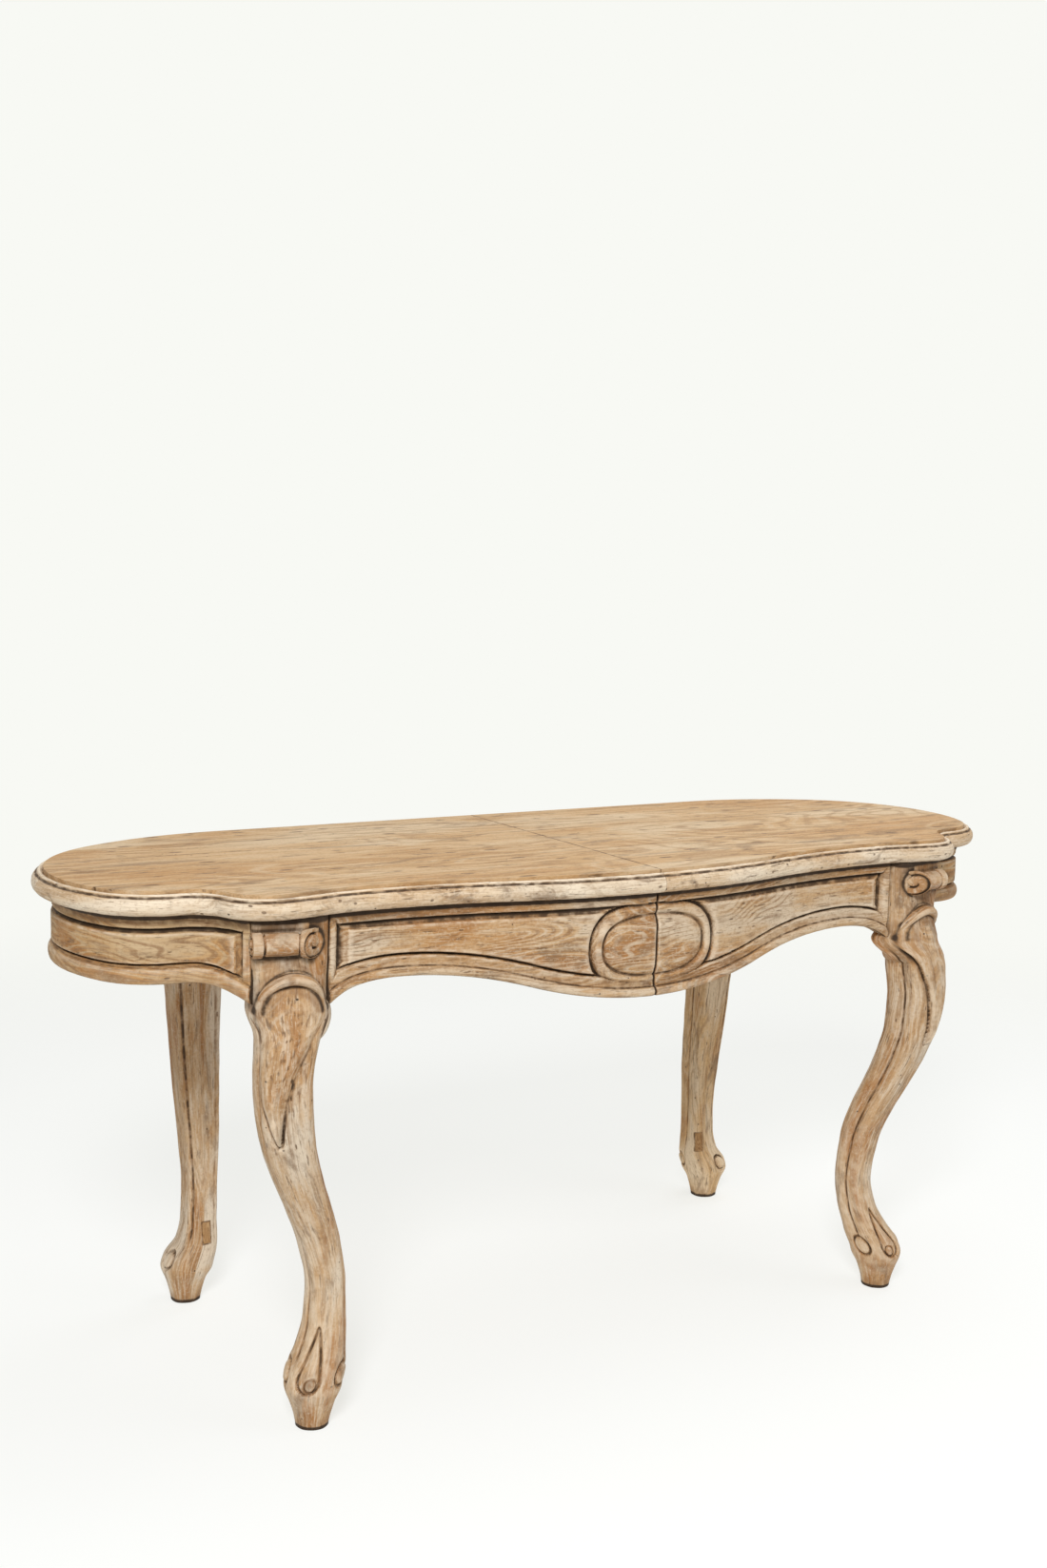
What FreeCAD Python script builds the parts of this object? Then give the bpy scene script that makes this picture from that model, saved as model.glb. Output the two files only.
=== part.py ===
import FreeCAD, Part
import math
import os
from FreeCAD import Placement, Rotation, Vector

# An extending table with a serpentine front, bowed ends and a straight back.
# +X runs along the table, the front faces -Y, +Z is up, and the origin lies on the floor below the middle.
# All sizes are in millimetres and degrees. The right half is drawn, and the left half mirrors it.

driving_sizes = {
    # whole table
    "table_length": 1666,
    "table_depth": 600,
    "table_height": 760,
    "toes_behind_top": 5,
    # top boards, their moulded edge and the split between the halves
    "top_thickness": 34,
    "edge_step": 4,
    "edge_projection": 17,
    "edge_round": 14,
    "edge_joint": 30,
    "middle_board_width": 190,
    "split_gap": 0.6,
    # edge of the boards in plan: corner, hollow before it, neck beyond it and rounded back corner
    "corner_from_end": 230,
    "corner_set_back": 43,
    "hollow_before_corner": 116,
    "hollow_set_back": 56,
    "neck_beyond_corner": 112,
    "neck_behind_corner": 84,
    "neck_heading": 2,
    "end_behind_middle": 15,
    "back_corner_length": 346,
    # aprons
    "apron_inset": 4,
    "end_apron_inset": 9,
    "apron_thickness": 28,
    "belly_drop": 157,
    "arch_before_corner": 181,
    "arch_drop": 99,
    "corner_drop": 126,
    "corner_heading": 38,
    "end_apron_drop": 96,
    "end_corner_drop": 118,
    "end_corner_length": 60,
    "back_apron_drop": 100,
    # feet and legs: rise above the floor, width, and shift away from the foot
    "foot_inside_post": 43,
    "front_foot_behind_face": 11,
    "foot_width": 46,
    "toe_rise": 64,
    "toe_width": 83,
    "ankle_rise": 180,
    "ankle_width": 58,
    "knee_below_post": 100,
    "knee_width": 78,
    "ankle_inward": 33,
    "ankle_backward": 32,
    "knee_outward": 51,
    "knee_forward": 3,
    "back_ankle_width": 50,
    "back_ankle_inward": 22,
    "back_knee_inward": 9,
    "back_knee_forward": 6,
    "back_knee_width": 72,
    "back_knee_depth": 56,
    # leg posts between the aprons
    "post_before_corner": 19,
    "post_width": 108,
    "post_depth": 78,
    "post_turn": 11.5,
    "post_round": 13,
    "back_post_inset": 8,
    "back_post_inward": 4,
    "back_post_width": 80,
    "back_post_depth": 58,
    "scroll_length": 80,
    "scroll_radius": 15.5,
    "scroll_drop": 34,
    "scroll_from_side": 1,
    # filled mortise low on each back leg
    "plug_width": 15,
    "plug_height": 37,
    "plug_depth": 14,
    "plug_rise": 105,
    "plug_inward": 30,
    # tenons and pegs
    "tenon_length": 32,
    "tenon_thickness": 10,
    "tenon_height": 60,
    "tenon_below_top": 18,
    "peg_diameter": 8,
    "peg_spacing": 32,
    "peg_from_shoulder": 15,
    "peg_skin": 12,
    # glue blocks and screws
    "block_length": 60,
    "block_depth": 30,
    "block_height": 32,
    "block_first": 150,
    "block_before_post": 187,
    "block_end_spread": 90,
    "screw_diameter": 4.5,
    "screw_head_diameter": 9,
    "screw_head_height": 4,
    "screw_bite": 18,
    # runners
    "runner_length": 900,
    "runner_width": 28,
    "runner_height": 50,
    "runner_from_end": 216,
    "runner_behind_face": 138,
    "runner_gap": 0.4,
    "runner_drop": 0.5,
    "tongue_reach": 12,
    "tongue_head": 6,
    "tongue_neck_height": 10,
    "tongue_head_height": 20,
    "tongue_clearance": 0.4,
    "runner_screw_first": 60,
    # dowels across the split
    "dowel_diameter": 10,
    "dowel_reach": 30,
    "dowel_spacing": 180,
    "dowel_clearance": 0.4,
}

# sections of a leg from foot to toe, to ankle, to knee and to post
sections_per_span = (2, 3, 5, 3)
runner_screw_count = 4
dowel_count = 3
pegs_per_joint = 2

doc = FreeCAD.newDocument("extending_table")
sheet = doc.addObject("Spreadsheet::Sheet", "sizes")
for row, (alias, value) in enumerate(driving_sizes.items(), start=1):
    sheet.set(f"A{row}", alias)
    sheet.set(f"B{row}", str(value))
    sheet.setAlias(f"B{row}", alias)
doc.recompute()

subparts = []


def size(alias):
    return float(getattr(sheet, alias))


half_length = size("table_length") / 2
half_depth = size("table_depth") / 2
under_top = size("table_height") - size("top_thickness")
field_half = half_length - size("edge_projection")
field_edge = half_depth - size("edge_projection")
field_back = field_edge - size("toes_behind_top")
half_gap = size("split_gap") / 2
post_bottom = under_top - size("corner_drop")
knee_rise = post_bottom - size("knee_below_post")
corner_along = field_half - size("corner_from_end")
post_along = corner_along - size("post_before_corner")
front_face = size("corner_set_back") + size("apron_inset") - field_edge
foot_along = post_along - size("foot_inside_post")
front_foot = front_face + size("front_foot_behind_face")
back_foot = half_depth - size("toe_width") / 2
right_side = Vector(1, 0, 0)


def keep(node, label):
    node.Label = label
    subparts.append(node)
    return node


def feature(name, shape):
    node = doc.addObject("Part::Feature", name)
    node.Shape = shape
    node.Placement = Placement()
    return node


def box(name, length, width, height, x, y, z):
    node = doc.addObject("Part::Box", name)
    for target, expression in zip(("Length", "Width", "Height"), (length, width, height)):
        node.setExpression(target, expression)
    for target, expression in zip("xyz", (x, y, z)):
        node.setExpression(f"Placement.Base.{target}", expression)
    return node


def cut(name, base, tool):
    node = doc.addObject("Part::Cut", name)
    node.Base = base
    node.Tool = tool
    return node


def fuse(name, pieces):
    node = doc.addObject("Part::MultiFuse", name)
    node.Shapes = pieces
    return node


def mirrored(name, source):
    node = doc.addObject("Part::Mirroring", name)
    node.Source = source
    node.Base = Vector(0, 0, 0)
    node.Normal = right_side
    return node


def heading(degrees):
    return Vector(math.cos(math.radians(degrees)), math.sin(math.radians(degrees)), 0)


def ease(share):
    return share * share * (3 - 2 * share)


# Plan of the top

def tangent_arc(start, direction, end):
    chord = end - start
    turn = math.atan2(direction.cross(chord).z, direction.dot(chord))
    if abs(turn) < 1e-6:
        return Part.LineSegment(start, end).toShape()
    spoke = Rotation(Vector(0, 0, 1), math.degrees(turn / 2)).multVec(direction)
    middle = start + spoke * (chord.Length / (2 * math.cos(turn / 2)))
    return Part.Arc(start, middle, end).toShape()


def biarc(start, start_heading, end, end_heading):
    leave = heading(start_heading)
    arrive = heading(end_heading)
    chord = end - start
    both = leave + arrive
    spread = 2 * (1 - leave.dot(arrive))
    along = chord.dot(both)
    if spread < 1e-9:
        reach = chord.dot(chord) / (2 * along)
    else:
        reach = (math.sqrt(along * along + spread * chord.dot(chord)) - along) / spread
    joint = (start + leave * reach + end - arrive * reach) * 0.5
    # the second arc is drawn backwards from its end, so that it is tangent there
    return [tangent_arc(start, leave, joint), tangent_arc(end, arrive * -1, joint)]


def biarc_chain(stations):
    edges = []
    for (start, start_heading), (end, end_heading) in zip(stations, stations[1:]):
        edges += biarc(start, start_heading, end, end_heading)
    return edges


def field_edges():
    corner = Vector(corner_along, size("corner_set_back") - field_edge, 0)
    hollow_along = corner_along - size("hollow_before_corner")
    stations = [
        (Vector(0, -field_edge, 0), 0),
        (Vector(hollow_along, size("hollow_set_back") - field_edge, 0), 0),
        (corner, 0),
        (corner + Vector(size("neck_beyond_corner"), size("neck_behind_corner"), 0), size("neck_heading")),
        (Vector(field_half, size("end_behind_middle"), 0), 90),
        (Vector(field_half - size("back_corner_length"), field_back, 0), 180),
    ]
    edges = biarc_chain(stations)
    edges.append(Part.LineSegment(stations[-1][0], Vector(0, field_back, 0)).toShape())
    return edges


right_edges = field_edges()
field_path = Part.Wire(Part.__sortEdges__(right_edges))
left_edges = [edge.mirror(Vector(0, 0, 0), right_side) for edge in right_edges]
field_face = Part.Face(Part.Wire(Part.__sortEdges__(right_edges + left_edges)))


def prism(inset, bottom, top):
    face = field_face if inset == 0 else field_face.makeOffset2D(-inset)
    solid = face.extrude(Vector(0, 0, top - bottom))
    solid.translate(Vector(0, 0, bottom))
    return solid


def slab(x_low, x_high, y_low, y_high, z_low, z_high):
    corner = Vector(x_low, y_low, z_low)
    return Part.makeBox(x_high - x_low, y_high - y_low, z_high - z_low, corner)


def right_of_split(y_low, y_high):
    return slab(half_gap, half_length, y_low, y_high, 0, size("table_height"))


# Legs

def rounded_section(width, depth, roundness, centre, turn):
    radius = roundness * min(width, depth)
    across = width / 2
    along = depth / 2
    diagonal = radius * (1 - math.sqrt(0.5))
    edges = []
    corners = [(1, -1), (1, 1), (-1, 1), (-1, -1)]
    for side_x, side_y in corners:
        towards_x = Vector(side_x * (across - radius), side_y * along, 0)
        towards_y = Vector(side_x * across, side_y * (along - radius), 0)
        middle = Vector(side_x * (across - diagonal), side_y * (along - diagonal), 0)
        ends = (towards_x, towards_y) if side_x * side_y < 0 else (towards_y, towards_x)
        if edges:
            edges.append(Part.LineSegment(edges[-1].Vertexes[-1].Point, ends[0]).toShape())
        edges.append(Part.Arc(ends[0], middle, ends[1]).toShape())
    edges.append(Part.LineSegment(edges[-1].Vertexes[-1].Point, edges[0].Vertexes[0].Point).toShape())
    wire = Part.Wire(edges)
    wire.Placement = Placement(centre, Rotation(Vector(0, 0, 1), turn))
    return wire


def station_wires(stations):
    wires = []
    for lower, upper, count in zip(stations, stations[1:], sections_per_span):
        for step in range(count):
            share = ease(step / count)
            values = [low + (high - low) * share for low, high in zip(lower[1:], upper[1:])]
            rise = lower[0] + (upper[0] - lower[0]) * step / count
            width, depth, roundness, x, y, turn = values
            wires.append(rounded_section(width, depth, roundness, Vector(x, y, rise), turn))
    rise, width, depth, roundness, x, y, turn = stations[-1]
    wires.append(rounded_section(width, depth, roundness, Vector(x, y, rise), turn))
    return wires


def leg_blank(stations):
    wires = station_wires(stations)
    leg = Part.makeLoft(wires, True)
    post = Part.Face(wires[-1]).extrude(Vector(0, 0, under_top - post_bottom))
    return leg.fuse(post).removeSplitter()


def front_post_place():
    turn = size("post_turn")
    inward = heading(90 + turn)
    middle = Vector(post_along, front_face, 0) + inward * (size("post_depth") / 2)
    return Placement(middle, Rotation(Vector(0, 0, 1), turn))


def back_post_place():
    back = field_back - size("back_post_inset")
    middle = Vector(foot_along - size("back_post_inward"), back - size("back_post_depth") / 2, 0)
    return Placement(middle, Rotation(Vector(0, 0, 1), 180))


front_place = front_post_place()
back_place = back_post_place()
post_roundness = size("post_round") / size("post_depth")
foot_roundness = 0.47
ankle_roundness = 0.44
knee_roundness = 0.12


def front_leg_blank():
    turn = size("post_turn")
    toe = size("toe_width")
    foot = size("foot_width")
    ankle = size("ankle_width")
    knee = size("knee_width")
    stations = [
        (0, foot, foot, foot_roundness, foot_along, front_foot, turn),
        (size("toe_rise"), toe, toe, foot_roundness, foot_along, front_foot, turn),
        (size("ankle_rise"), ankle, ankle, ankle_roundness,
         foot_along - size("ankle_inward"), front_foot + size("ankle_backward"), turn),
        (knee_rise, knee, knee, knee_roundness,
         foot_along + size("knee_outward"), front_foot - size("knee_forward"), turn),
        (post_bottom, size("post_width"), size("post_depth"), post_roundness,
         front_place.Base.x, front_place.Base.y, turn),
    ]
    blank = leg_blank(stations)
    scroll = Part.makeCylinder(size("scroll_radius"), size("scroll_length"))
    scroll.Placement = Placement(
        Vector(
            size("post_width") / 2 - size("scroll_from_side") - size("scroll_length"),
            -size("post_depth") / 2,
            under_top - size("scroll_drop"),
        ),
        Rotation(Vector(0, 1, 0), 90),
    )
    scroll.Placement = front_place.multiply(scroll.Placement)
    return blank.fuse(scroll)


def back_leg_blank():
    toe = size("toe_width")
    foot = size("foot_width")
    ankle = size("back_ankle_width")
    stations = [
        (0, foot, foot, foot_roundness, foot_along, back_foot, 180),
        (size("toe_rise"), toe, toe, foot_roundness, foot_along, back_foot, 180),
        (size("ankle_rise"), ankle, ankle, post_roundness,
         foot_along - size("back_ankle_inward"), back_foot, 180),
        (knee_rise, size("back_knee_width"), size("back_knee_depth"), post_roundness,
         foot_along - size("back_knee_inward"), back_foot - size("back_knee_forward"), 180),
        (post_bottom, size("back_post_width"), size("back_post_depth"), post_roundness,
         back_place.Base.x, back_place.Base.y, 180),
    ]
    return leg_blank(stations)


# Aprons, with a tenon at each leg

def post_room(place, width, depth):
    # the post's own space, open towards the outside of the table
    outside = size("apron_thickness")
    room = Part.makeBox(width, depth + outside, under_top, Vector(-width / 2, -depth / 2 - outside, 0))
    room.Placement = place
    return room


def apron_ring(inset):
    low = under_top - size("belly_drop")
    ring = prism(inset, low, under_top).cut(prism(inset + size("apron_thickness"), low, under_top))
    ring = ring.common(right_of_split(-half_depth, half_depth))
    ring = ring.cut(post_room(*front_post))
    return ring.cut(post_room(*back_post)).Solids


def apron_blanks():
    ring = apron_ring(size("apron_inset"))
    front = min(ring, key=lambda solid: solid.CenterOfGravity.y)
    back = max(ring, key=lambda solid: solid.CenterOfGravity.y)
    end = max(apron_ring(size("end_apron_inset")), key=lambda solid: solid.CenterOfGravity.x)
    return front, end, back


def below_edge(edges, start, end, depth):
    # the space below an edge, drawn in plan and then stood upright
    corners = [end, Vector(half_length, end.y, 0), Vector(half_length, 0, 0), Vector(0, 0, 0)]
    corners += [Vector(0, start.y, 0), start]
    for first, second in zip(corners, corners[1:]):
        if first.distanceToPoint(second) > 0:
            edges = edges + [Part.LineSegment(first, second).toShape()]
    face = Part.Face(Part.Wire(Part.__sortEdges__(edges)))
    face.rotate(Vector(0, 0, 0), right_side, 90)
    cutter = face.extrude(Vector(0, depth, 0))
    cutter.translate(Vector(0, -half_depth, 0))
    return cutter


def below_front_apron():
    belly = Vector(0, under_top - size("belly_drop"), 0)
    arch = Vector(corner_along - size("arch_before_corner"), under_top - size("arch_drop"), 0)
    corner = Vector(front_place.Base.x - size("post_width") / 2, post_bottom, 0)
    edges = biarc_chain([(belly, 0), (arch, 0), (corner, -size("corner_heading"))])
    return below_edge(edges, belly, corner, half_depth)


def below_end_apron():
    level = under_top - size("end_apron_drop")
    corner = Vector(front_place.Base.x + size("post_width") / 2, under_top - size("end_corner_drop"), 0)
    risen = Vector(corner.x + size("end_corner_length"), level, 0)
    edges = biarc_chain([(corner, size("corner_heading")), (risen, 0)])
    shaped = below_edge(edges, corner, risen, half_depth + size("end_behind_middle"))
    return shaped.fuse(slab(0, half_length, size("end_behind_middle"), half_depth, 0, level))


def tenon_at(apron, place, width, depth, side):
    shoulder = side * width / 2
    overlap = size("tenon_thickness") / 2
    strip_start = Vector(min(shoulder, shoulder + side * overlap), -depth / 2, 0)
    strip = Part.makeBox(overlap, depth, under_top, strip_start)
    strip.Placement = place
    contact = apron.common(strip)
    middle = place.inverse().multVec(contact.CenterOfGravity).y
    start = min(shoulder + side * overlap, shoulder - side * size("tenon_length"))
    top = under_top - size("tenon_below_top")
    thickness = size("tenon_thickness")
    tenon = Part.makeBox(
        size("tenon_length") + overlap, thickness, size("tenon_height"),
        Vector(start, middle - thickness / 2, top - size("tenon_height")),
    )
    tenon.Placement = place
    return tenon


def pegs_at(place, width, depth, side):
    pegs = []
    reach = depth - size("peg_skin")
    middle_z = under_top - size("tenon_below_top") - size("tenon_height") / 2
    for number in range(pegs_per_joint):
        rise = middle_z + (number - (pegs_per_joint - 1) / 2) * size("peg_spacing")
        start = Vector(side * (width / 2 - size("peg_from_shoulder")), depth / 2, rise)
        peg = Part.makeCylinder(size("peg_diameter") / 2, reach, start, Vector(0, -1, 0))
        peg.Placement = place.multiply(peg.Placement)
        pegs.append(peg)
    return pegs


front_post = (front_place, size("post_width"), size("post_depth"))
back_post = (back_place, size("back_post_width"), size("back_post_depth"))
front_blank, end_blank, back_blank = apron_blanks()
front_shaped = front_blank.cut(below_front_apron())
end_shaped = end_blank.cut(below_end_apron())
back_low = under_top - size("back_apron_drop")
back_shaped = back_blank.cut(slab(0, half_length, 0, half_depth, 0, back_low))

front_tenon = tenon_at(front_shaped, *front_post, -1)
end_front_tenon = tenon_at(end_shaped, *front_post, 1)
# the back post is turned about, so its sides are named the other way round
end_back_tenon = tenon_at(end_shaped, *back_post, -1)
back_tenon = tenon_at(back_shaped, *back_post, 1)

front_pegs = pegs_at(*front_post, -1) + pegs_at(*front_post, 1)
back_pegs = pegs_at(*back_post, -1) + pegs_at(*back_post, 1)
pegs_right = keep(
    feature("pegs_right", Part.makeCompound(front_pegs + back_pegs)),
    "apron_pegs_right",
)


def add_apron(name, shaped, tenons):
    blank = feature(f"{name}_blank", shaped.multiFuse(tenons).removeSplitter())
    return keep(cut(name, blank, pegs_right), name)


def add_leg(name, blank_shape, mortises):
    blank = feature(f"{name}_blank", blank_shape)
    tenon_space = feature(f"{name}_mortises", Part.makeCompound(mortises))
    mortised = cut(f"{name}_mortised", blank, tenon_space)
    return cut(name, mortised, pegs_right)


front_apron = add_apron("front_apron_right", front_shaped, [front_tenon])
end_apron = add_apron("end_apron_right", end_shaped, [end_front_tenon, end_back_tenon])
back_apron = add_apron("back_apron_right", back_shaped, [back_tenon])

front_leg = keep(
    add_leg("front_leg_right", front_leg_blank(), [front_tenon, end_front_tenon]),
    "front_leg_right",
)
back_leg_uncut = add_leg("back_leg_uncut", back_leg_blank(), [end_back_tenon, back_tenon])
end_of_boards = "(sizes.table_length / 2 - sizes.edge_projection)"
corner_x = f"({end_of_boards} - sizes.corner_from_end)"
foot_x = f"({corner_x} - sizes.post_before_corner - sizes.foot_inside_post)"
back_foot_y = "(sizes.table_depth / 2 - sizes.toe_width / 2)"
plug_space = box(
    "plug_space", "sizes.plug_width", "sizes.plug_depth * 2", "sizes.plug_height",
    f"{foot_x} - sizes.plug_inward - sizes.plug_width / 2",
    f"{back_foot_y} - sizes.back_ankle_width / 2 - sizes.plug_depth",
    "sizes.plug_rise - sizes.plug_height / 2",
)
back_leg = keep(cut("back_leg_right", back_leg_uncut, plug_space), "back_leg_right")
plug = doc.addObject("Part::Common", "mortise_plug_right")
plug.Base = back_leg_uncut
plug.Tool = plug_space
keep(plug, "mortise_plug_right")


# Screws and glue blocks under the top

def screw(x, y, bottom):
    head_radius = size("screw_head_diameter") / 2
    shank_radius = size("screw_diameter") / 2
    head = Part.makeCone(head_radius, shank_radius, size("screw_head_height"), Vector(x, y, bottom))
    shank_length = under_top + size("screw_bite") - bottom
    return head.fuse(Part.makeCylinder(shank_radius, shank_length, Vector(x, y, bottom))).removeSplitter()


def room_inside(inset):
    return prism(inset + size("apron_thickness"), 0, under_top)


def block_places():
    inside = room_inside(size("apron_inset"))
    inside_ends = room_inside(size("end_apron_inset"))
    half_block = size("block_length") / 2
    deep = size("block_depth")
    places = []

    def reach(room, x_low, x_high, y_low, y_high):
        return room.common(slab(x_low, x_high, y_low, y_high, 0, under_top)).BoundBox

    for x in (size("block_first"), post_along - size("block_before_post")):
        whole = reach(inside, x - half_block, x + half_block, -half_depth, half_depth)
        middle = reach(inside, x - half_gap, x + half_gap, -half_depth, half_depth)
        places.append((inside, x - half_block, x + half_block, whole.YMin, middle.YMin + deep))
        places.append((inside, x - half_block, x + half_block, middle.YMax - deep, whole.YMax))
    for side in (-1, 1):
        y = side * size("block_end_spread")
        whole = reach(inside_ends, 0, half_length, y - half_block, y + half_block)
        middle = reach(inside_ends, 0, half_length, y - half_gap, y + half_gap)
        places.append((inside_ends, middle.XMax - deep, whole.XMax, y - half_block, y + half_block))
    return places


def glue_blocks():
    bottom = under_top - size("block_height")
    blocks = []
    screws = []
    for room, x_low, x_high, y_low, y_high in block_places():
        block = slab(x_low, x_high, y_low, y_high, bottom, under_top).common(room)
        middle = block.CenterOfGravity
        blocks.append(block)
        screws.append(screw(middle.x, middle.y, bottom))
    return blocks, screws


blocks, block_screws = glue_blocks()
block_screws_right = keep(
    feature("block_screws_right", Part.makeCompound(block_screws)),
    "block_screws_right",
)
blocks_blank = feature("glue_blocks_blank", Part.makeCompound(blocks))
blocks_right = keep(cut("glue_blocks_right", blocks_blank, block_screws_right), "glue_blocks_right")


# Runners: each set has a left, a middle and a right one side by side, the left one nearest the apron

runner_bottom = "sizes.table_height - sizes.top_thickness - sizes.runner_height"
runner_middle_z = f"{runner_bottom} + sizes.runner_height / 2"
runner_end = f"({end_of_boards} - sizes.runner_from_end)"
corner_face = "(sizes.table_depth / 2 - sizes.edge_projection - sizes.corner_set_back - sizes.apron_inset)"
runner_spread = f"({corner_face} - sizes.runner_behind_face)"
runner_pitch = size("runner_width") + size("runner_gap")
sets = {"front": -1, "back": 1}


def runner_screws(half, side):
    web = (size("runner_width") - size("tongue_reach")) / 2
    to_web = size("runner_width") / 2 - web
    spread = -front_face - size("runner_behind_face")
    first = size("runner_screw_first")
    last = field_half - size("runner_from_end") - first
    screws = []
    for set_side in sets.values():
        outward = -side
        centre = set_side * (spread + outward * runner_pitch)
        y = centre + set_side * outward * to_web
        for number in range(runner_screw_count):
            x = first + (last - first) * number / (runner_screw_count - 1)
            screws.append(screw(side * x, y, under_top - size("runner_height")))
    return keep(
        feature(f"runner_screws_{half}_group", Part.makeCompound(screws)),
        f"runner_screws_{half}",
    )


def middle_runner(name, set_side):
    y_centre = f"{set_side} * {runner_spread}"
    x_start = "-sizes.runner_length / 2"
    reach = "(sizes.runner_width / 2 + sizes.runner_gap + sizes.tongue_reach)"
    body = box(
        f"{name}_body",
        "sizes.runner_length", "sizes.runner_width", "sizes.runner_height - sizes.runner_drop",
        x_start, f"{y_centre} - sizes.runner_width / 2", runner_bottom,
    )
    neck = box(
        f"{name}_neck", "sizes.runner_length", f"2 * {reach}", "sizes.tongue_neck_height",
        x_start, f"{y_centre} - {reach}", f"{runner_middle_z} - sizes.tongue_neck_height / 2",
    )
    heads = []
    for side_name, start in (("near", f"-{reach}"), ("far", f"{reach} - sizes.tongue_head")):
        heads.append(box(
            f"{name}_{side_name}_head",
            "sizes.runner_length", "sizes.tongue_head", "sizes.tongue_head_height",
            x_start, f"{y_centre} + {start}", f"{runner_middle_z} - sizes.tongue_head_height / 2",
        ))
    keep(fuse(name, [body, neck] + heads), name)


def end_runner(name, set_side, side, screws):
    # side is -1 for the runner of the left half and 1 for that of the right half
    outward = -side * set_side
    x_start = f"-{runner_end}" if side < 0 else f"{runner_end} - sizes.runner_length"
    pitch = "(sizes.runner_width + sizes.runner_gap)"
    y_centre = f"({set_side} * {runner_spread} + {outward} * {pitch})"
    body = box(
        f"{name}_body", "sizes.runner_length", "sizes.runner_width", "sizes.runner_height",
        x_start, f"{y_centre} - sizes.runner_width / 2", runner_bottom,
    )
    relief_start = "0" if side < 0 else x_start
    relief = box(
        f"{name}_relief", f"sizes.runner_length - {runner_end}", "sizes.runner_width", "sizes.runner_drop",
        relief_start, f"{y_centre} - sizes.runner_width / 2",
        "sizes.table_height - sizes.top_thickness - sizes.runner_drop",
    )
    slots = []
    clearance = "sizes.tongue_clearance"
    slot_sizes = {
        "neck": ("0", "sizes.tongue_neck_height"),
        "head": (f"(sizes.tongue_reach - sizes.tongue_head - {clearance})", "sizes.tongue_head_height"),
    }
    for part, (from_face, slot_height) in slot_sizes.items():
        deep = f"(sizes.tongue_reach + {clearance} - {from_face})"
        inner_face = f"({y_centre} - {outward} * (sizes.runner_width / 2 - {from_face}))"
        y_start = inner_face if outward > 0 else f"{inner_face} - {deep}"
        slots.append(box(
            f"{name}_{part}_slot", "sizes.runner_length", deep, f"{slot_height} + 2 * {clearance}",
            x_start, y_start, f"{runner_middle_z} - {slot_height} / 2 - {clearance}",
        ))
    grooved = cut(f"{name}_grooved", body, fuse(f"{name}_grooves", slots + [relief]))
    keep(cut(name, grooved, screws), name)


runner_screws_of = {"left": runner_screws("left", -1), "right": runner_screws("right", 1)}
for set_name, set_side in sets.items():
    middle_runner(f"middle_runner_{set_name}", set_side)
    end_runner(f"left_runner_{set_name}", set_side, -1, runner_screws_of["left"])
    end_runner(f"right_runner_{set_name}", set_side, 1, runner_screws_of["right"])


# Top boards, edge moulding and dowels

def dowel_group(clearance):
    group = []
    radius = size("dowel_diameter") / 2 + clearance
    reach = size("dowel_reach") + clearance
    rise = under_top + size("top_thickness") / 2
    for number in range(dowel_count):
        y = (number - (dowel_count - 1) / 2) * size("dowel_spacing")
        group.append(Part.makeCylinder(radius, 2 * reach, Vector(-reach, y, rise), right_side))
    return group


def moulding_blank():
    # the profile is swept along the edge of the boards, then cut back to it
    projection = size("edge_projection")
    radius = size("edge_round")
    high = size("top_thickness") - size("edge_step")
    round_start = projection - radius
    points = {
        "low_in": Vector(0, projection, 0),
        "low_out": Vector(0, -round_start, 0),
        "top_out": Vector(0, -round_start, high),
        "top_in": Vector(0, projection, high),
    }
    nose = Vector(0, -projection, high / 2)
    edges = [
        Part.LineSegment(points["low_in"], points["low_out"]).toShape(),
        Part.Arc(points["low_out"], nose, points["top_out"]).toShape(),
        Part.LineSegment(points["top_out"], points["top_in"]).toShape(),
        Part.LineSegment(points["top_in"], points["low_in"]).toShape(),
    ]
    profile = Part.Wire(edges)
    profile.translate(Vector(0, -field_edge, under_top))
    path = field_path.copy()
    path.translate(Vector(0, 0, under_top))
    swept = path.makePipeShell([profile], True, False)
    return swept.cut(prism(0, under_top, size("table_height")))


dowels = keep(feature("dowels", Part.makeCompound(dowel_group(0))), "alignment_dowels")
dowel_room = feature("dowel_room", Part.makeCompound(dowel_group(size("dowel_clearance"))))
block_screws_left = keep(mirrored("block_screws_mirror", block_screws_right), "block_screws_left")
top_screws = {
    "right": fuse("top_screws_right", [block_screws_right, runner_screws_of["right"]]),
    "left": fuse("top_screws_left", [block_screws_left, runner_screws_of["left"]]),
}

middle_edge = size("middle_board_width") / 2
board_strips = {
    "front": (-half_depth, -middle_edge),
    "middle": (-middle_edge, middle_edge),
    "back": (middle_edge, half_depth),
}
field_solid = prism(0, under_top, size("table_height"))
for board_name, (y_low, y_high) in board_strips.items():
    blank = feature(f"board_{board_name}_blank", field_solid.common(right_of_split(y_low, y_high)))
    blank_left = mirrored(f"board_{board_name}_left_blank", blank)
    tight = cut(f"board_{board_name}_bored", blank, dowels)
    loose = cut(f"board_{board_name}_left_bored", blank_left, dowel_room)
    right_board = cut(f"board_{board_name}_right", tight, top_screws["right"])
    left_board = cut(f"board_{board_name}_left", loose, top_screws["left"])
    keep(right_board, f"top_board_{board_name}_right")
    keep(left_board, f"top_board_{board_name}_left")

moulding = moulding_blank()
moulding_front = feature("moulding_front", moulding.common(right_of_split(-half_depth, size("edge_joint"))))
moulding_back = feature("moulding_back", moulding.common(right_of_split(size("edge_joint"), half_depth)))
keep(moulding_front, "edge_moulding_front_right")
keep(moulding_back, "edge_moulding_back_right")

# The left half

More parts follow.
